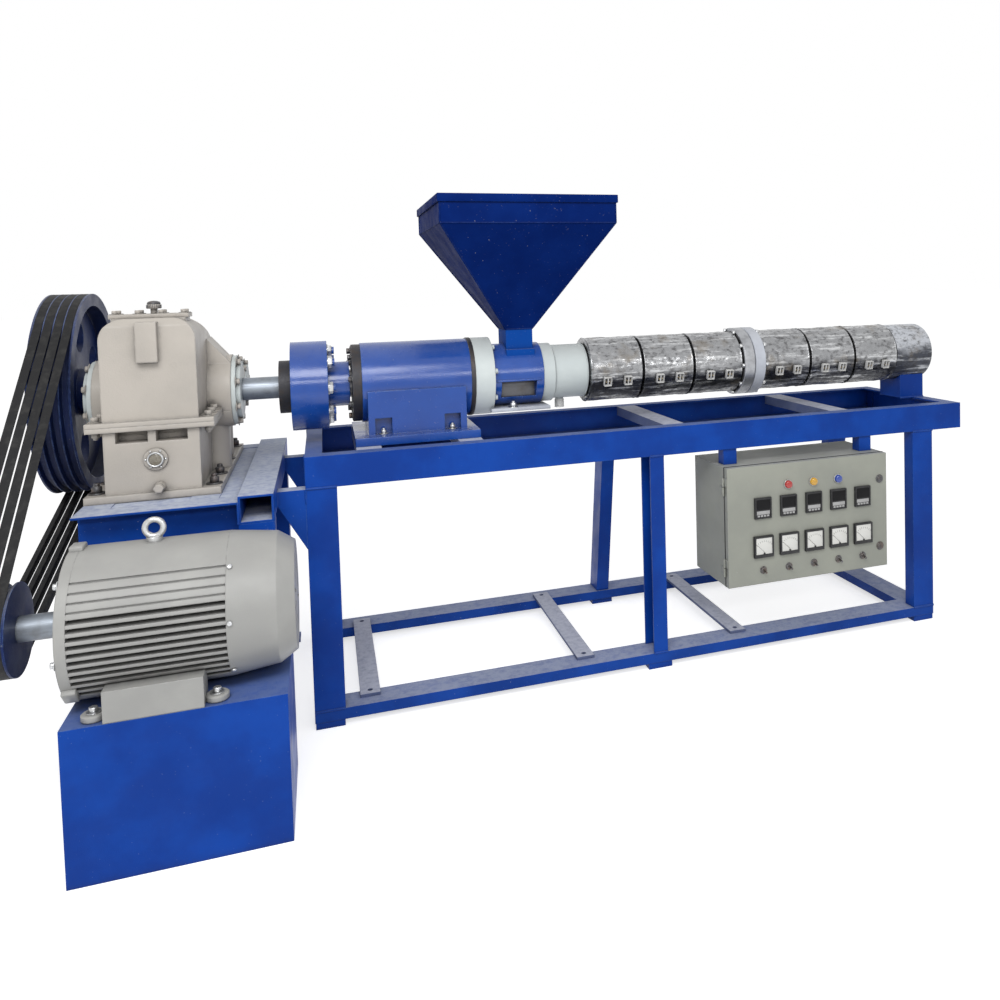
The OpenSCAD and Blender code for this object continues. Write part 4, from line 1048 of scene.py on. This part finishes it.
@dataclass
class ThrustDrive:
    """Coupling, thrust housing, mounting flange and feed throat."""

    drum_face: float = 0.075
    pin_circle: float = 0.110
    pins: int = 8
    pin_bore: float = 0.0122
    washer: tuple[float, float] = (0.021, 0.003)
    plate_face: float = 0.149
    plate_bolt: float = 0.017
    plate_circle: float = 0.106
    pocket_floor: float = 0.846
    pockets: tuple[float, ...] = (0.2374, 0.455)
    pocket_y: float = 0.123
    pocket_nut: float = 0.0158
    housing_radius: float = 0.130
    seal_inner: float = 0.120
    seal_long: float = 0.014
    flange_left: float = 0.537
    flange_face: float = 0.601
    flange_bolt: float = 0.016
    flange_circle: float = 0.1195
    throat_right: float = 0.773
    window_floor: float = 0.2112
    window_z: float = 0.958
    window_size: tuple[float, float] = (0.118, 0.052)
    ledge_long: float = 0.156
    ledge_out: float = 0.1045
    ledge_drop: float = 0.0165
    saddle_left: float = 0.590
    saddle_right: float = 0.792
    saddle_deep: float = 0.210
    saddle_top: float = 0.897
    saddle_thick: float = 0.012
    saddle_nut: float = 0.019
    saddle_nut_x: float = 0.666
    saddle_nut_in: float = 0.016
    jacket_left: float = 0.815
    jacket_right: float = 0.936
    jacket_radius: float = 0.094
    nipple_x: float = 0.851
    nipple_low: float = 0.874
    nipple_bore: float = 0.0142
    barb: float = 0.0075

    def dress(self) -> None:
        """Gives the drive line's CAD nodes their finishes."""
        dress(Finish.HOUSING_BLUE, "thrust_housing", "coupling_drum", "feed_throat")
        dress(Finish.IRON, "coupling_gear_half", "thrust_end_plate")
        dress(Finish.CREAM, "barrel_mount_flange", "throat_ring", "water_jacket")
        dress(Finish.SCREW, "screw_core", "screw_flight")

    def build(self) -> None:
        """Adds nuts and bolts, the housing's end ring, the throat's fittings and the jacket's seams."""
        self.fasteners()
        self.end_ring()
        self.window()
        self.saddle()
        self.jacket()

    def fasteners(self) -> None:
        """Fits the coupling's nuts and the bolts of plate, housing and flange."""
        nuts = Piece("coupling_nuts", Finish.ZINC, Body.SCREW)
        face = on_axis(self.drum_face)
        bore = self.pin_bore
        wide, thick = self.washer
        nuts.put(Shape.lathe([(bore, 0.0), (wide, 0.0), (wide, thick), (bore, thick)], 20),
                 *circle_places(face, self.pin_circle, self.pins, Way.RIGHT))
        nuts.put(Shape.lathe([(bore, 0.0), (0.0185, 0.0), (0.0185, 0.010), (0.0170, 0.012),
                              (bore, 0.012)], 6),
                 *circle_places(face + Vector((thick, 0.0, 0.0)), self.pin_circle, self.pins, Way.RIGHT))
        nuts.settle()
        lay("end_plate_bolts", Finish.BOLT, hex_bolt(self.plate_bolt),
            *circle_places(on_axis(self.plate_face), self.plate_circle, 8, Way.LEFT, 0.2))
        lay("housing_bolts", Finish.ZINC, stud_nut(self.pocket_nut, 0.006),
            *[facing(at(x, AXIS_Y + side * self.pocket_y, self.pocket_floor), Way.UP)
              for x in self.pockets for side in (-1, 1)])
        lay("mount_flange_bolts", Finish.CREAM, hex_bolt(self.flange_bolt, 0.010, washer=False),
            *circle_places(on_axis(self.flange_face), self.flange_circle, 8, Way.RIGHT, 0.2))

    def end_ring(self) -> None:
        """Slips a dark seal over the housing's right end."""
        inner = self.seal_inner
        low = self.housing_radius + 0.002
        high = self.housing_radius + 0.0032
        long = self.seal_long
        lay("housing_seal", Finish.IRON,
            Shape.lathe([(inner, 0.0), (low, 0.0), (high, 0.002), (high, long), (inner, long)], 96),
            facing(on_axis(self.flange_left - long - 0.0002), Way.RIGHT))

    def window(self) -> None:
        """Closes the throat's window with a dark grey plate under a ledge, its darkness partly painted shade.
        """
        middle = (self.flange_face + self.throat_right) / 2
        lay("throat_window", Finish.POCKET, Shape.block(*self.window_size, 0.003, 0.0008),
            facing(at(middle, self.window_floor, self.window_z), Way.FRONT))
        lay("throat_ledge", Finish.HOUSING_BLUE, Shape.block(self.ledge_long, 0.010, 0.007, 0.0018),
            Matrix.Translation(at(middle, AXIS_Y - self.ledge_out, AXIS_Z - self.ledge_drop)))

    def saddle(self) -> None:
        """Bolts a plate under the feed throat."""
        middle = (self.saddle_left + self.saddle_right) / 2
        thick = self.saddle_thick
        lay("throat_saddle", Finish.FLANGE,
            Shape.block(self.saddle_right - self.saddle_left, self.saddle_deep, thick, 0.0015),
            Matrix.Translation(at(middle, AXIS_Y, self.saddle_top - thick)))
        reach = self.saddle_deep / 2 - self.saddle_nut_in
        lay("saddle_bolts", Finish.ZINC, stud_nut(self.saddle_nut, 0.006),
            *[facing(at(self.saddle_nut_x, AXIS_Y + side * reach, self.saddle_top), Way.UP, 0.3)
              for side in (-1, 1)])

    def jacket(self) -> None:
        """Welds the jacket's ends and fits a hose tail on its nipple."""
        lay("jacket_seams", Finish.CREAM, Shape.ring_bead(self.jacket_radius - 0.0005, 0.0028),
            *[facing(on_axis(x), Way.RIGHT) for x in (self.jacket_left + 0.004, self.jacket_right - 0.003)])
        outline = [(self.nipple_bore, 0.0)]
        for step in range(4):
            outline += [(0.0178, 0.001 + step * self.barb), (0.0152, self.barb + step * self.barb)]
        outline.append((self.nipple_bore, 0.0312))
        lay("nipple_tail", Finish.CERAMIC, Shape.lathe(outline, 28),
            Matrix.Translation(at(self.nipple_x, AXIS_Y, self.nipple_low)))


@dataclass
class Barrel:
    """Heated barrel: dented bands with their terminals, joint flanges and head."""

    inner: float = 0.0858
    radius: float = 0.1145
    band: float = 0.18917
    pitch: float = 0.19717
    starts: tuple[float, ...] = (0.940, 1.6185)
    sides: tuple[str, ...] = ("feed", "die")
    slit: float = 0.044
    lean: float = math.radians(17.0)
    back: float = math.radians(50.0)
    joint_left: float = 1.5275
    joint_right: float = 1.6145
    bolt: float = 0.0145
    bolt_circle: float = 0.1188
    flange: float = 0.126
    chamfer: float = 0.003
    joint_gap: float = 0.002
    roll: float = 0.0085
    dent: float = 0.0034
    lug_z: float = 0.013
    block: tuple[float, float, float] = (0.028, 0.032, 0.0165)
    stud_x: float = 0.0062

    def dress(self) -> None:
        """Gives the barrel's CAD nodes their finishes."""
        dress(Finish.BAND, "heater_bands_feed", "heater_bands_die")
        dress(Finish.HEAD, "barrel_head")
        dress(Finish.FLANGE, "barrel_flanges")
        dress(Finish.STEEL, "barrel")

    def build(self) -> None:
        """Adds bands, clamps, terminals and the joint."""
        for index, (side, start) in enumerate(zip(self.sides, self.starts)):
            lefts = [start + i * self.pitch for i in range(3)]
            self.sheets(side, lefts, 3.0 * index)
            self.clamps(side, lefts)
            self.terminals(side, lefts)
        self.joint()

    def joint(self) -> None:
        """Turns the two joint flanges, the right one painted, and bolts them."""
        thick = (self.joint_right - self.joint_left - self.joint_gap) / 2
        wide = self.flange
        cut = self.chamfer
        outline = [(self.inner, 0.0), (wide - cut, 0.0), (wide, cut), (wide, thick - cut),
                   (wide - cut, thick), (self.inner, thick)]
        for name, finish, x, nodes in (
                ("joint_flange_feed", Finish.COLLAR, self.joint_left, ["barrel_flanges"]),
                ("joint_flange_die", Finish.FLANGE, self.joint_right - thick, [])):
            lay(name, finish, Shape.lathe(outline, 96), facing(on_axis(x), Way.RIGHT), crease=0.5,
                replaces=nodes)
        bolts = Piece("joint_bolts", Finish.ZINC)
        for x, way in ((self.joint_left, Way.LEFT), (self.joint_right, Way.RIGHT)):
            bolts.put(hex_bolt(self.bolt, 0.010, washer=False),
                      *circle_places(on_axis(x), self.bolt_circle, 10, way, 0.25))
        bolts.settle()

    def sheets(self, side: str, lefts: Sequence[float], seed: float) -> None:
        """Rolls the three bands of one side from thin sheet.

        Args:
            side: Which bands, as in the CAD node's name.
            lefts: Left edge of each band.
            seed: Offset into the dents.
        """
        steps = 30
        rim = [(self.inner, 0.0), (self.radius - 0.0035, 0.0), (self.radius - 0.0003, 0.0014),
               (self.radius + 0.0004, 0.0034), (self.radius - 0.0006, 0.0056)]
        flat = self.band - 2 * self.roll
        body = [(self.radius - 0.0012, self.roll + flat * i / steps) for i in range(steps + 1)]
        outline = rim + body + [(radius, self.band - x) for radius, x in reversed(rim)]
        piece = Piece(f"band_sheets_{side}", Finish.BAND)
        for number, left in enumerate(lefts):
            sheet = Shape.lathe(outline, 112, sweep=TURN - self.slit)
            sheet.dented(self.dent, self.radius - 0.010, seed + number)
            piece.put(sheet, facing(on_axis(left), Way.RIGHT, self.slit / 2 - math.pi / 2 + self.back))
        piece.settle(0.7, [f"heater_bands_{side}"])

    def clamps(self, side: str, lefts: Sequence[float]) -> None:
        """Closes each band's slit at the lower rear with two screws between lugs."""
        clamps = Piece(f"band_clamps_{side}", Finish.ZINC)
        out = Vector((0.0, math.sin(self.back), -math.cos(self.back)))
        seat = out * (self.radius - 0.004)
        places = [facing(on_axis(left + self.band * share) + seat, out)
                  for left in lefts for share in (0.15, 0.85)]
        clamps.put(Shape.block(0.016, 0.003, 0.019, 0.0008),
                   *shifted(places, (0.0, -0.006, 0.0), (0.0, 0.006, 0.0)))
        along = Matrix.Rotation(-math.pi / 2, 4, "X")
        clamps.put(hex_bolt(0.009, 0.005, washer=False),
                   *[place @ along for place in shifted(places, (0.0, 0.0075, self.lug_z))])
        clamps.put(Shape.disc(0.0026, 0.022, 0.0005, 10),
                   *[place @ along for place in shifted(places, (0.0, -0.013, self.lug_z))])
        clamps.settle()

    def terminals(self, side: str, lefts: Sequence[float]) -> None:
        """Sets two terminal blocks on each band's lower front."""
        out = Vector((0.0, -math.cos(self.lean), -math.sin(self.lean)))
        seat = out * (self.radius - 0.0025)
        places = [facing(on_axis(left + self.band * share) + seat, out)
                  for left in lefts for share in (0.3, 0.7)]
        blocks = Piece(f"terminal_blocks_{side}", Finish.CERAMIC)
        blocks.put(Shape.block(*self.block, 0.0016).recess(0.0040, 0.010), *places)
        blocks.put(Shape.block(0.0035, 0.028, 0.013, 0.0008), *shifted(places, (0.0, 0.0, 0.002)))
        blocks.settle()
        lay(f"terminal_wells_{side}", Finish.BLACK, Shape.block(0.0190, 0.0230, 0.0012, 0.0003),
            *shifted(places, (0.0, 0.0, 0.0062)))
        stud = Shape.disc(0.0016, 0.008, 0.0003, 10).with_(hex_bolt(0.0052, 0.0022, washer=False))
        lay(f"terminal_studs_{side}", Finish.BRASS, stud,
            *shifted(places, (-self.stud_x, 0.0, 0.0072), (self.stud_x, 0.0, 0.0072)))


@dataclass
class Hopper:
    """Sheet hopper over the feed throat."""

    middle_x: float = 0.699
    neck: tuple[float, float] = (0.046, 0.064)
    mouth: float = 0.284
    collar_half: float = 0.082
    collar_low: float = 1.062
    collar_top: float = 1.092
    neck_top: float = 1.160
    cone_top: float = 1.505
    top: float = 1.595
    bead: float = 0.003
    hem_out: float = 0.007
    hem_tall: float = 0.026

    def dress(self) -> None:
        """Paints the hopper."""
        dress(Finish.HOPPER_BLUE, "hopper")

    def corner(self, half_x: float, half_y: float, turn: int, z: float) -> Vector:
        """Corner of an oblong round the hopper's axis, counted from the left front."""
        sign_x, sign_y = ((-1, -1), (1, -1), (1, 1), (-1, 1))[turn % 4]
        return at(self.middle_x + sign_x * half_x, AXIS_Y + sign_y * half_y, z)

    def build(self) -> None:
        """Welds the sheets, collars the neck and folds a hem round the mouth."""
        welds = Piece("hopper_welds", Finish.HOPPER_BLUE)
        mouth = (self.mouth, self.mouth)
        for turn in range(4):
            low = self.corner(*self.neck, turn, self.neck_top)
            high = self.corner(*mouth, turn, self.cone_top)
            welds.weld(low, high, self.bead)
            welds.weld(high, self.corner(*mouth, turn, self.top - 0.012), self.bead)
            welds.weld(low, self.corner(*self.neck, turn + 1, self.neck_top), self.bead)
            welds.weld(high, self.corner(*mouth, turn + 1, self.cone_top), 0.0025)
        welds.settle()
        neck_x, neck_y = self.neck
        lay("neck_collar", Finish.HOPPER_BLUE,
            Shape.border(2 * (neck_x + 0.003), 2 * self.collar_half, self.collar_half - neck_y + 0.001,
                         self.collar_top - self.collar_low, 0.0015),
            Matrix.Translation(at(self.middle_x, AXIS_Y, self.collar_low)))
        wide = 2 * (self.mouth + self.hem_out)
        lay("hopper_hem", Finish.HOPPER_BLUE, Shape.border(wide, wide, 0.0072, self.hem_tall, 0.002),
            Matrix.Translation(at(self.middle_x, AXIS_Y, self.top - self.hem_tall)))


@dataclass
class Cabinet:
    """Control cabinet with its door, instruments and inside."""

    left: float = 1.340
    low: float = 0.258
    face: float = -0.055
    back: float = 0.2055
    wide: float = 0.640
    tall: float = 0.412
    first: float = 0.133
    pitch: float = 0.1005
    columns: int = 5
    controller: tuple[float, float] = (0.064, 0.072)
    controller_out: float = 0.006
    meter_out: float = 0.008
    lamp_z: float = 0.82
    controller_z: float = 0.643
    meter_z: float = 0.318
    toggle_z: float = 0.116
    lock_z: tuple[float, ...] = (0.18, 0.777)
    lock_x: float = 0.610
    pivot: tuple[float, float] = (-0.005, -0.03475)
    knuckle: float = 0.0042
    leaf_tall: float = 0.030
    meter: float = 0.074
    dial_low: float = -0.018
    gasket_y: float = -0.0305
    gasket_over: float = 0.0024
    plate_off: float = 0.018
    rail_shares: tuple[float, ...] = (0.70, 0.26)
    duct_shares: tuple[float, ...] = (0.90, 0.47)

    def dress(self) -> None:
        """Gives the cabinet's CAD nodes their finishes."""
        dress(Finish.CABINET, "cabinet_shell", "cabinet_door")
        dress(Finish.BLACK, "controllers", "meters")
        dress(Finish.RED_LENS, "pilot_lamps")
        dress(Finish.BOLT, "toggle_switches", "door_locks")

    def front(self, x: float, y: float, share: float) -> Matrix:
        """Place that looks to the front, from the cabinet's left edge, at a share of its height."""
        return facing(at(self.left + x, y, self.low + self.tall * share), Way.FRONT)

    def on_door(self, x: float, share: float, out: float = 0.0) -> Matrix:
        """Place on the door, from its left edge, at a share of its height."""
        return self.front(x, self.face - out, share)

    def column(self, index: int, share: float, out: float = 0.0) -> Matrix:
        """Place on the door at a column of instruments."""
        return self.on_door(self.first + index * self.pitch, share, out)

    def build(self) -> None:
        """Adds instruments, locks, hinges and what the open door shows."""
        self.lamps()
        self.controllers()
        self.meters()
        self.switches()
        self.hinges()
        self.inside()

    def lamps(self) -> None:
        """Sets three coloured lamps in bezels."""
        lay("lamp_bezels", Finish.ZINC,
            Shape.lathe([(0.0, 0.0), (0.0165, 0.0), (0.0165, 0.0025), (0.0155, 0.0046), (0.0142, 0.0046),
                         (0.0142, 0.003), (0.0, 0.003)], 36, closed=False),
            *[self.column(i, self.lamp_z) for i in (1, 2, 3)], body=Body.DOOR, replaces=["pilot_lamps"])
        for name, finish, index in (("red", Finish.RED_LENS, 1), ("yellow", Finish.YELLOW_LENS, 2),
                                    ("blue", Finish.BLUE_LENS, 3)):
            lay(f"lamp_lens_{name}", finish,
                Shape.lathe([(0.0, 0.003), (0.0140, 0.003), (0.0140, 0.008), (0.0126, 0.0116),
                             (0.0080, 0.0140), (0.0, 0.0148)], 32, closed=False),
                self.column(index, self.lamp_z), body=Body.DOOR)

    def controllers(self) -> None:
        """Gives each controller a bezel, a dark display, a pale strip and keys."""
        wide, tall = self.controller
        fronts = [self.column(i, self.controller_z, self.controller_out) for i in range(self.columns)]
        lay("controller_bezels", Finish.BLACK, Shape.border(wide, tall, 0.005, 0.003, 0.001), *fronts,
            body=Body.DOOR)
        lay("controller_screens", Finish.SCREEN, Shape.block(wide - 0.014, tall * 0.47, 0.0016, 0.0005),
            *shifted(fronts, (0.0, tall * 0.16, 0.0)), body=Body.DOOR)
        strips = Piece("controller_strips", Finish.LABEL, Body.DOOR)
        strips.put(Shape.block(wide - 0.014, tall * 0.17, 0.0012, 0.0004),
                   *shifted(fronts, (0.0, -tall * 0.22, 0.0)))
        strips.put(Shape.block(0.009, 0.0065, 0.0018, 0.0006),
                   *shifted(fronts, *[(x, -tall * 0.37, 0.0) for x in (-0.018, -0.006, 0.006, 0.018)]))
        strips.settle()

    def meters(self) -> None:
        """Gives each meter a bezel, a pale dial, scale marks and a needle."""
        fronts = [self.column(i, self.meter_z, self.meter_out) for i in range(self.columns)]
        bezels = Piece("meter_bezels", Finish.BLACK, Body.DOOR)
        bezels.put(Shape.border(self.meter, self.meter, 0.006, 0.0035, 0.0012), *fronts)
        bezels.put(Shape.block(0.062, 0.006, 0.0026, 0.0006), *shifted(fronts, (0.0, -0.0285, 0.0)))
        bezels.settle()
        lay("meter_dials", Finish.DIAL, Shape.block(0.0618, 0.0562, 0.0012, 0.0003),
            *shifted(fronts, (0.0, 0.0027, 0.0)), body=Body.DOOR)
        marks = Piece("meter_marks", Finish.BLACK, Body.DOOR)
        arcs = [Matrix.Rotation(math.radians(angle), 4, "Z") for angle in range(-48, 49, 12)]
        turned = [place @ arc for place in shifted(fronts, (0.0, self.dial_low, 0.0012)) for arc in arcs]
        marks.put(Shape.block(0.0009, 0.006, 0.0003), *shifted(turned, (0.0, 0.038, 0.0)))
        needle = Matrix.Rotation(math.radians(46), 4, "Z")
        turned = [place @ needle for place in shifted(fronts, (0.0, self.dial_low, 0.0014))]
        marks.put(Shape.block(0.0008, 0.036, 0.0006), *shifted(turned, (0.0, 0.018, 0.0)))
        marks.put(Shape.disc(0.0034, 0.0032, 0.0006, 16), *shifted(fronts, (0.0, -0.0225, 0.001)))
        marks.settle()

    def switches(self) -> None:
        """Rings the toggle switches with nuts and slots the locks."""
        nuts = Piece("toggle_nuts", Finish.BOLT, Body.DOOR)
        plate = Shape.lathe([(0.0082, 0.0), (0.0135, 0.0), (0.0135, 0.0012), (0.0082, 0.0012)], 28)
        plate.with_(Shape.lathe([(0.0082, 0.0012), (0.0118, 0.0012), (0.0118, 0.0045), (0.0108, 0.0052),
                                 (0.0082, 0.0052)], 6))
        nuts.put(plate, *[self.column(i, self.toggle_z) for i in range(self.columns)])
        locks = [self.on_door(self.lock_x, share) for share in self.lock_z]
        nuts.put(Shape.lathe([(0.0111, 0.0), (0.0150, 0.0), (0.0150, 0.0022), (0.0136, 0.0036),
                              (0.0111, 0.0036)], 32), *locks)
        nuts.settle()
        lay("lock_slots", Finish.IRON, Shape.block(0.0030, 0.0125, 0.0006, 0.0002),
            *shifted(locks, (0.0, 0.0, 0.006)), body=Body.DOOR)

    def hinges(self) -> None:
        """Hangs the door on two lift-off hinges at its left edge."""
        out, back = self.pivot
        heights = [self.low + self.tall * share for share in (0.16, 0.84)]
        for name, body, lift, leaf_y, leaf in (("hinge_leaves_shell", Body.FRAME, -0.031, 0.016, 0.030),
                                               ("hinge_leaves_door", Body.DOOR, 0.001, -0.0095, 0.018)):
            piece = Piece(name, Finish.CABINET, body)
            piece.put(Shape.disc(self.knuckle, self.leaf_tall, 0.0008, 18),
                      *[Matrix.Translation(at(self.left + out, back, z + lift)) for z in heights])
            piece.put(Shape.block(0.0024, leaf, self.leaf_tall, 0.0006),
                      *[Matrix.Translation(at(self.left - 0.0012, back + leaf_y, z + lift)) for z in heights])
            piece.settle()

    def inside(self) -> None:
        """Lays a gasket on the shell's edge and fits a mounting plate with switchgear behind the door."""
        middle = self.wide / 2
        over = self.gasket_over
        lay("door_gasket", Finish.RUBBER,
            Shape.border(self.wide + over, self.tall + over, 0.0100, 0.0040, 0.0006),
            self.front(middle, self.gasket_y, 0.5))
        plate_y = self.back - self.plate_off
        face_y = plate_y - 0.002
        gear_y = plate_y - 0.009
        plate = Piece("mounting_plate", Finish.ZINC)
        plate.put(Shape.block(self.wide - 0.050, self.tall - 0.050, 0.002, 0.0006),
                  self.front(middle, plate_y, 0.5))
        plate.put(Shape.block(self.wide - 0.110, 0.035, 0.007, 0.001),
                  *[self.front(middle, face_y, share) for share in self.rail_shares])
        plate.put(Shape.disc(0.009, 0.0125, 0.001, 14),
                  *[self.front(middle + side * (middle - 0.045), plate_y + 0.0145, share)
                    for side in (-1, 1) for share in (0.12, 0.88)])
        plate.settle()
        upper, lower = self.rail_shares
        gear = Piece("contactors", Finish.BLACK)
        rows = [self.front(self.first + i * self.pitch, gear_y, upper) for i in range(self.columns)]
        gear.put(Shape.block(0.045, 0.076, 0.046, 0.002), *rows)
        gear.put(Shape.block(0.032, 0.038, 0.014, 0.002), *shifted(rows, (0.0, 0.0, 0.046)))
        gear.settle()
        lay("terminal_strip", Finish.DIAL, Shape.block(0.0112, 0.044, 0.030, 0.001),
            *[self.front(0.10 + i * 0.0125, gear_y, lower) for i in range(36)])
        lay("wiring_ducts", Finish.LABEL, Shape.block(self.wide - 0.090, 0.032, 0.050, 0.0015),
            *[self.front(middle, face_y, share) for share in self.duct_shares])


def seen_share(tree: bpy.types.NodeTree) -> Socket:
    """Share of the rays that show the background: camera, glossy and transmission rays.

    Args:
        tree: Node tree that takes the nodes.

    Returns:
        Socket that is one on those rays and zero on the others.
    """
    path = tree.nodes.new("ShaderNodeLightPath")
    share = path.outputs["Is Camera Ray"]
    for kind in ("Is Glossy Ray", "Is Transmission Ray"):
        either = tree.nodes.new("ShaderNodeMath")
        either.operation = "MAXIMUM"
        tree.links.new(share, either.inputs[0])
        tree.links.new(path.outputs[kind], either.inputs[1])
        share = either.outputs[0]
    return share


@dataclass
class Studio:
    """Plain pale floor, soft light and the camera."""

    place: tuple[float, float, float] = (0.06735, -2.64176, 1.30222)
    yaw: float = 0.3312
    pitch: float = 0.0459
    roll: float = 0.0248
    focal: float = 0.85239
    middle: tuple[float, float] = (0.61607, 0.32401)
    sensor: float = 36.0
    ambient: float = 0.50
    key_power: float = 80.0
    key_place: tuple[float, float, float] = (-1.2, -2.8, 3.3)
    key_size: tuple[float, float] = (2.4, 1.3)
    strip_power: float = 27.0
    strip_place: tuple[float, float, float] = (0.1, -3.2, 1.9)
    strip_size: tuple[float, float] = (3.4, 0.24)
    aim: tuple[float, float, float] = (0.0, 0.1, 0.8)
    floor_glow: float = 0.64
    floor_grey: float = 0.80
    floor_half: float = 60.0

    def camera(self) -> None:
        """Sets the camera at the photograph's place and angle."""
        ahead = Vector((math.sin(self.yaw) * math.cos(self.pitch), math.cos(self.yaw) * math.cos(self.pitch),
                        -math.sin(self.pitch)))
        level = Vector((math.cos(self.yaw), -math.sin(self.yaw), 0.0))
        under = ahead.cross(level)
        right = level * math.cos(self.roll) + under * math.sin(self.roll)
        down = under * math.cos(self.roll) - level * math.sin(self.roll)
        data = bpy.data.cameras.new("camera")
        data.sensor_width = self.sensor
        data.lens = self.focal * self.sensor
        data.shift_x = 0.5 - self.middle[0]
        data.shift_y = self.middle[1] - 0.5
        data.clip_end = 200.0
        camera = bpy.data.objects.new("camera", data)
        turn = Matrix((right, -down, -ahead)).transposed().to_4x4()
        camera.matrix_world = Matrix.Translation(at(*self.place)) @ turn
        bpy.context.scene.collection.objects.link(camera)
        bpy.context.scene.camera = camera

    def floor(self) -> None:
        """Lays the floor, which shows white and keeps the shadow."""
        graph = Graph("studio_floor")
        lit = graph.add("BsdfDiffuse", {"Color": (self.floor_grey, self.floor_grey, self.floor_grey)})
        strength = graph.calc("MULTIPLY", seen_share(graph.tree), self.floor_glow)
        glow = graph.add("Emission", {"Color": (1.0, 1.0, 1.0), "Strength": strength})
        both = graph.add("AddShader", {0: lit.outputs[0], 1: glow.outputs[0]})
        graph.tree.links.new(both.outputs[0], graph.output.inputs["Surface"])
        bm = bmesh.new()
        bmesh.ops.create_grid(bm, x_segments=1, y_segments=1, size=self.floor_half)
        data = bpy.data.meshes.new("studio_floor")
        bm.to_mesh(data)
        bm.free()
        data.materials.append(graph.material)
        floor = bpy.data.objects.new("studio_floor", data)
        bpy.context.scene.collection.objects.link(floor)

    def lights(self) -> None:
        """Hangs a soft key and a low strip over the front and fills the rest from a pale world."""
        for name, place, size, power in (("key", self.key_place, self.key_size, self.key_power),
                                         ("strip", self.strip_place, self.strip_size, self.strip_power)):
            data = bpy.data.lights.new(name, "AREA")
            data.shape = "RECTANGLE"
            data.size, data.size_y = size
            data.energy = power
            lamp = bpy.data.objects.new(name, data)
            lamp.location = Vector(place)
            lamp.rotation_euler = (Vector(self.aim) - lamp.location).to_track_quat("-Z", "Y").to_euler()
            bpy.context.scene.collection.objects.link(lamp)
        world = bpy.data.worlds.new("studio")
        world.use_nodes = True
        tree = world.node_tree
        back = tree.nodes["Background"]
        level = tree.nodes.new("ShaderNodeMapRange")
        tree.links.new(seen_share(tree), level.inputs["Value"])
        level.inputs["To Min"].default_value = self.ambient
        level.inputs["To Max"].default_value = 1.0
        back.inputs["Color"].default_value = (1.0, 1.0, 1.0, 1.0)
        tree.links.new(level.outputs["Result"], back.inputs["Strength"])
        bpy.context.scene.world = world
        bpy.context.scene.view_settings.view_transform = "Standard"


def main() -> None:
    """Builds the machine's looks in order."""
    logging.basicConfig(level=logging.INFO, format="%(message)s")
    studio = Studio()
    studio.camera()
    studio.floor()
    studio.lights()
    for assembly in (Table(), Pedestal(), Gearbox(), Motor(), BeltDrive(), ThrustDrive(), Barrel(), Hopper(),
                     Cabinet()):
        assembly.dress()
        assembly.build()


if __name__ == "__main__":
    main()
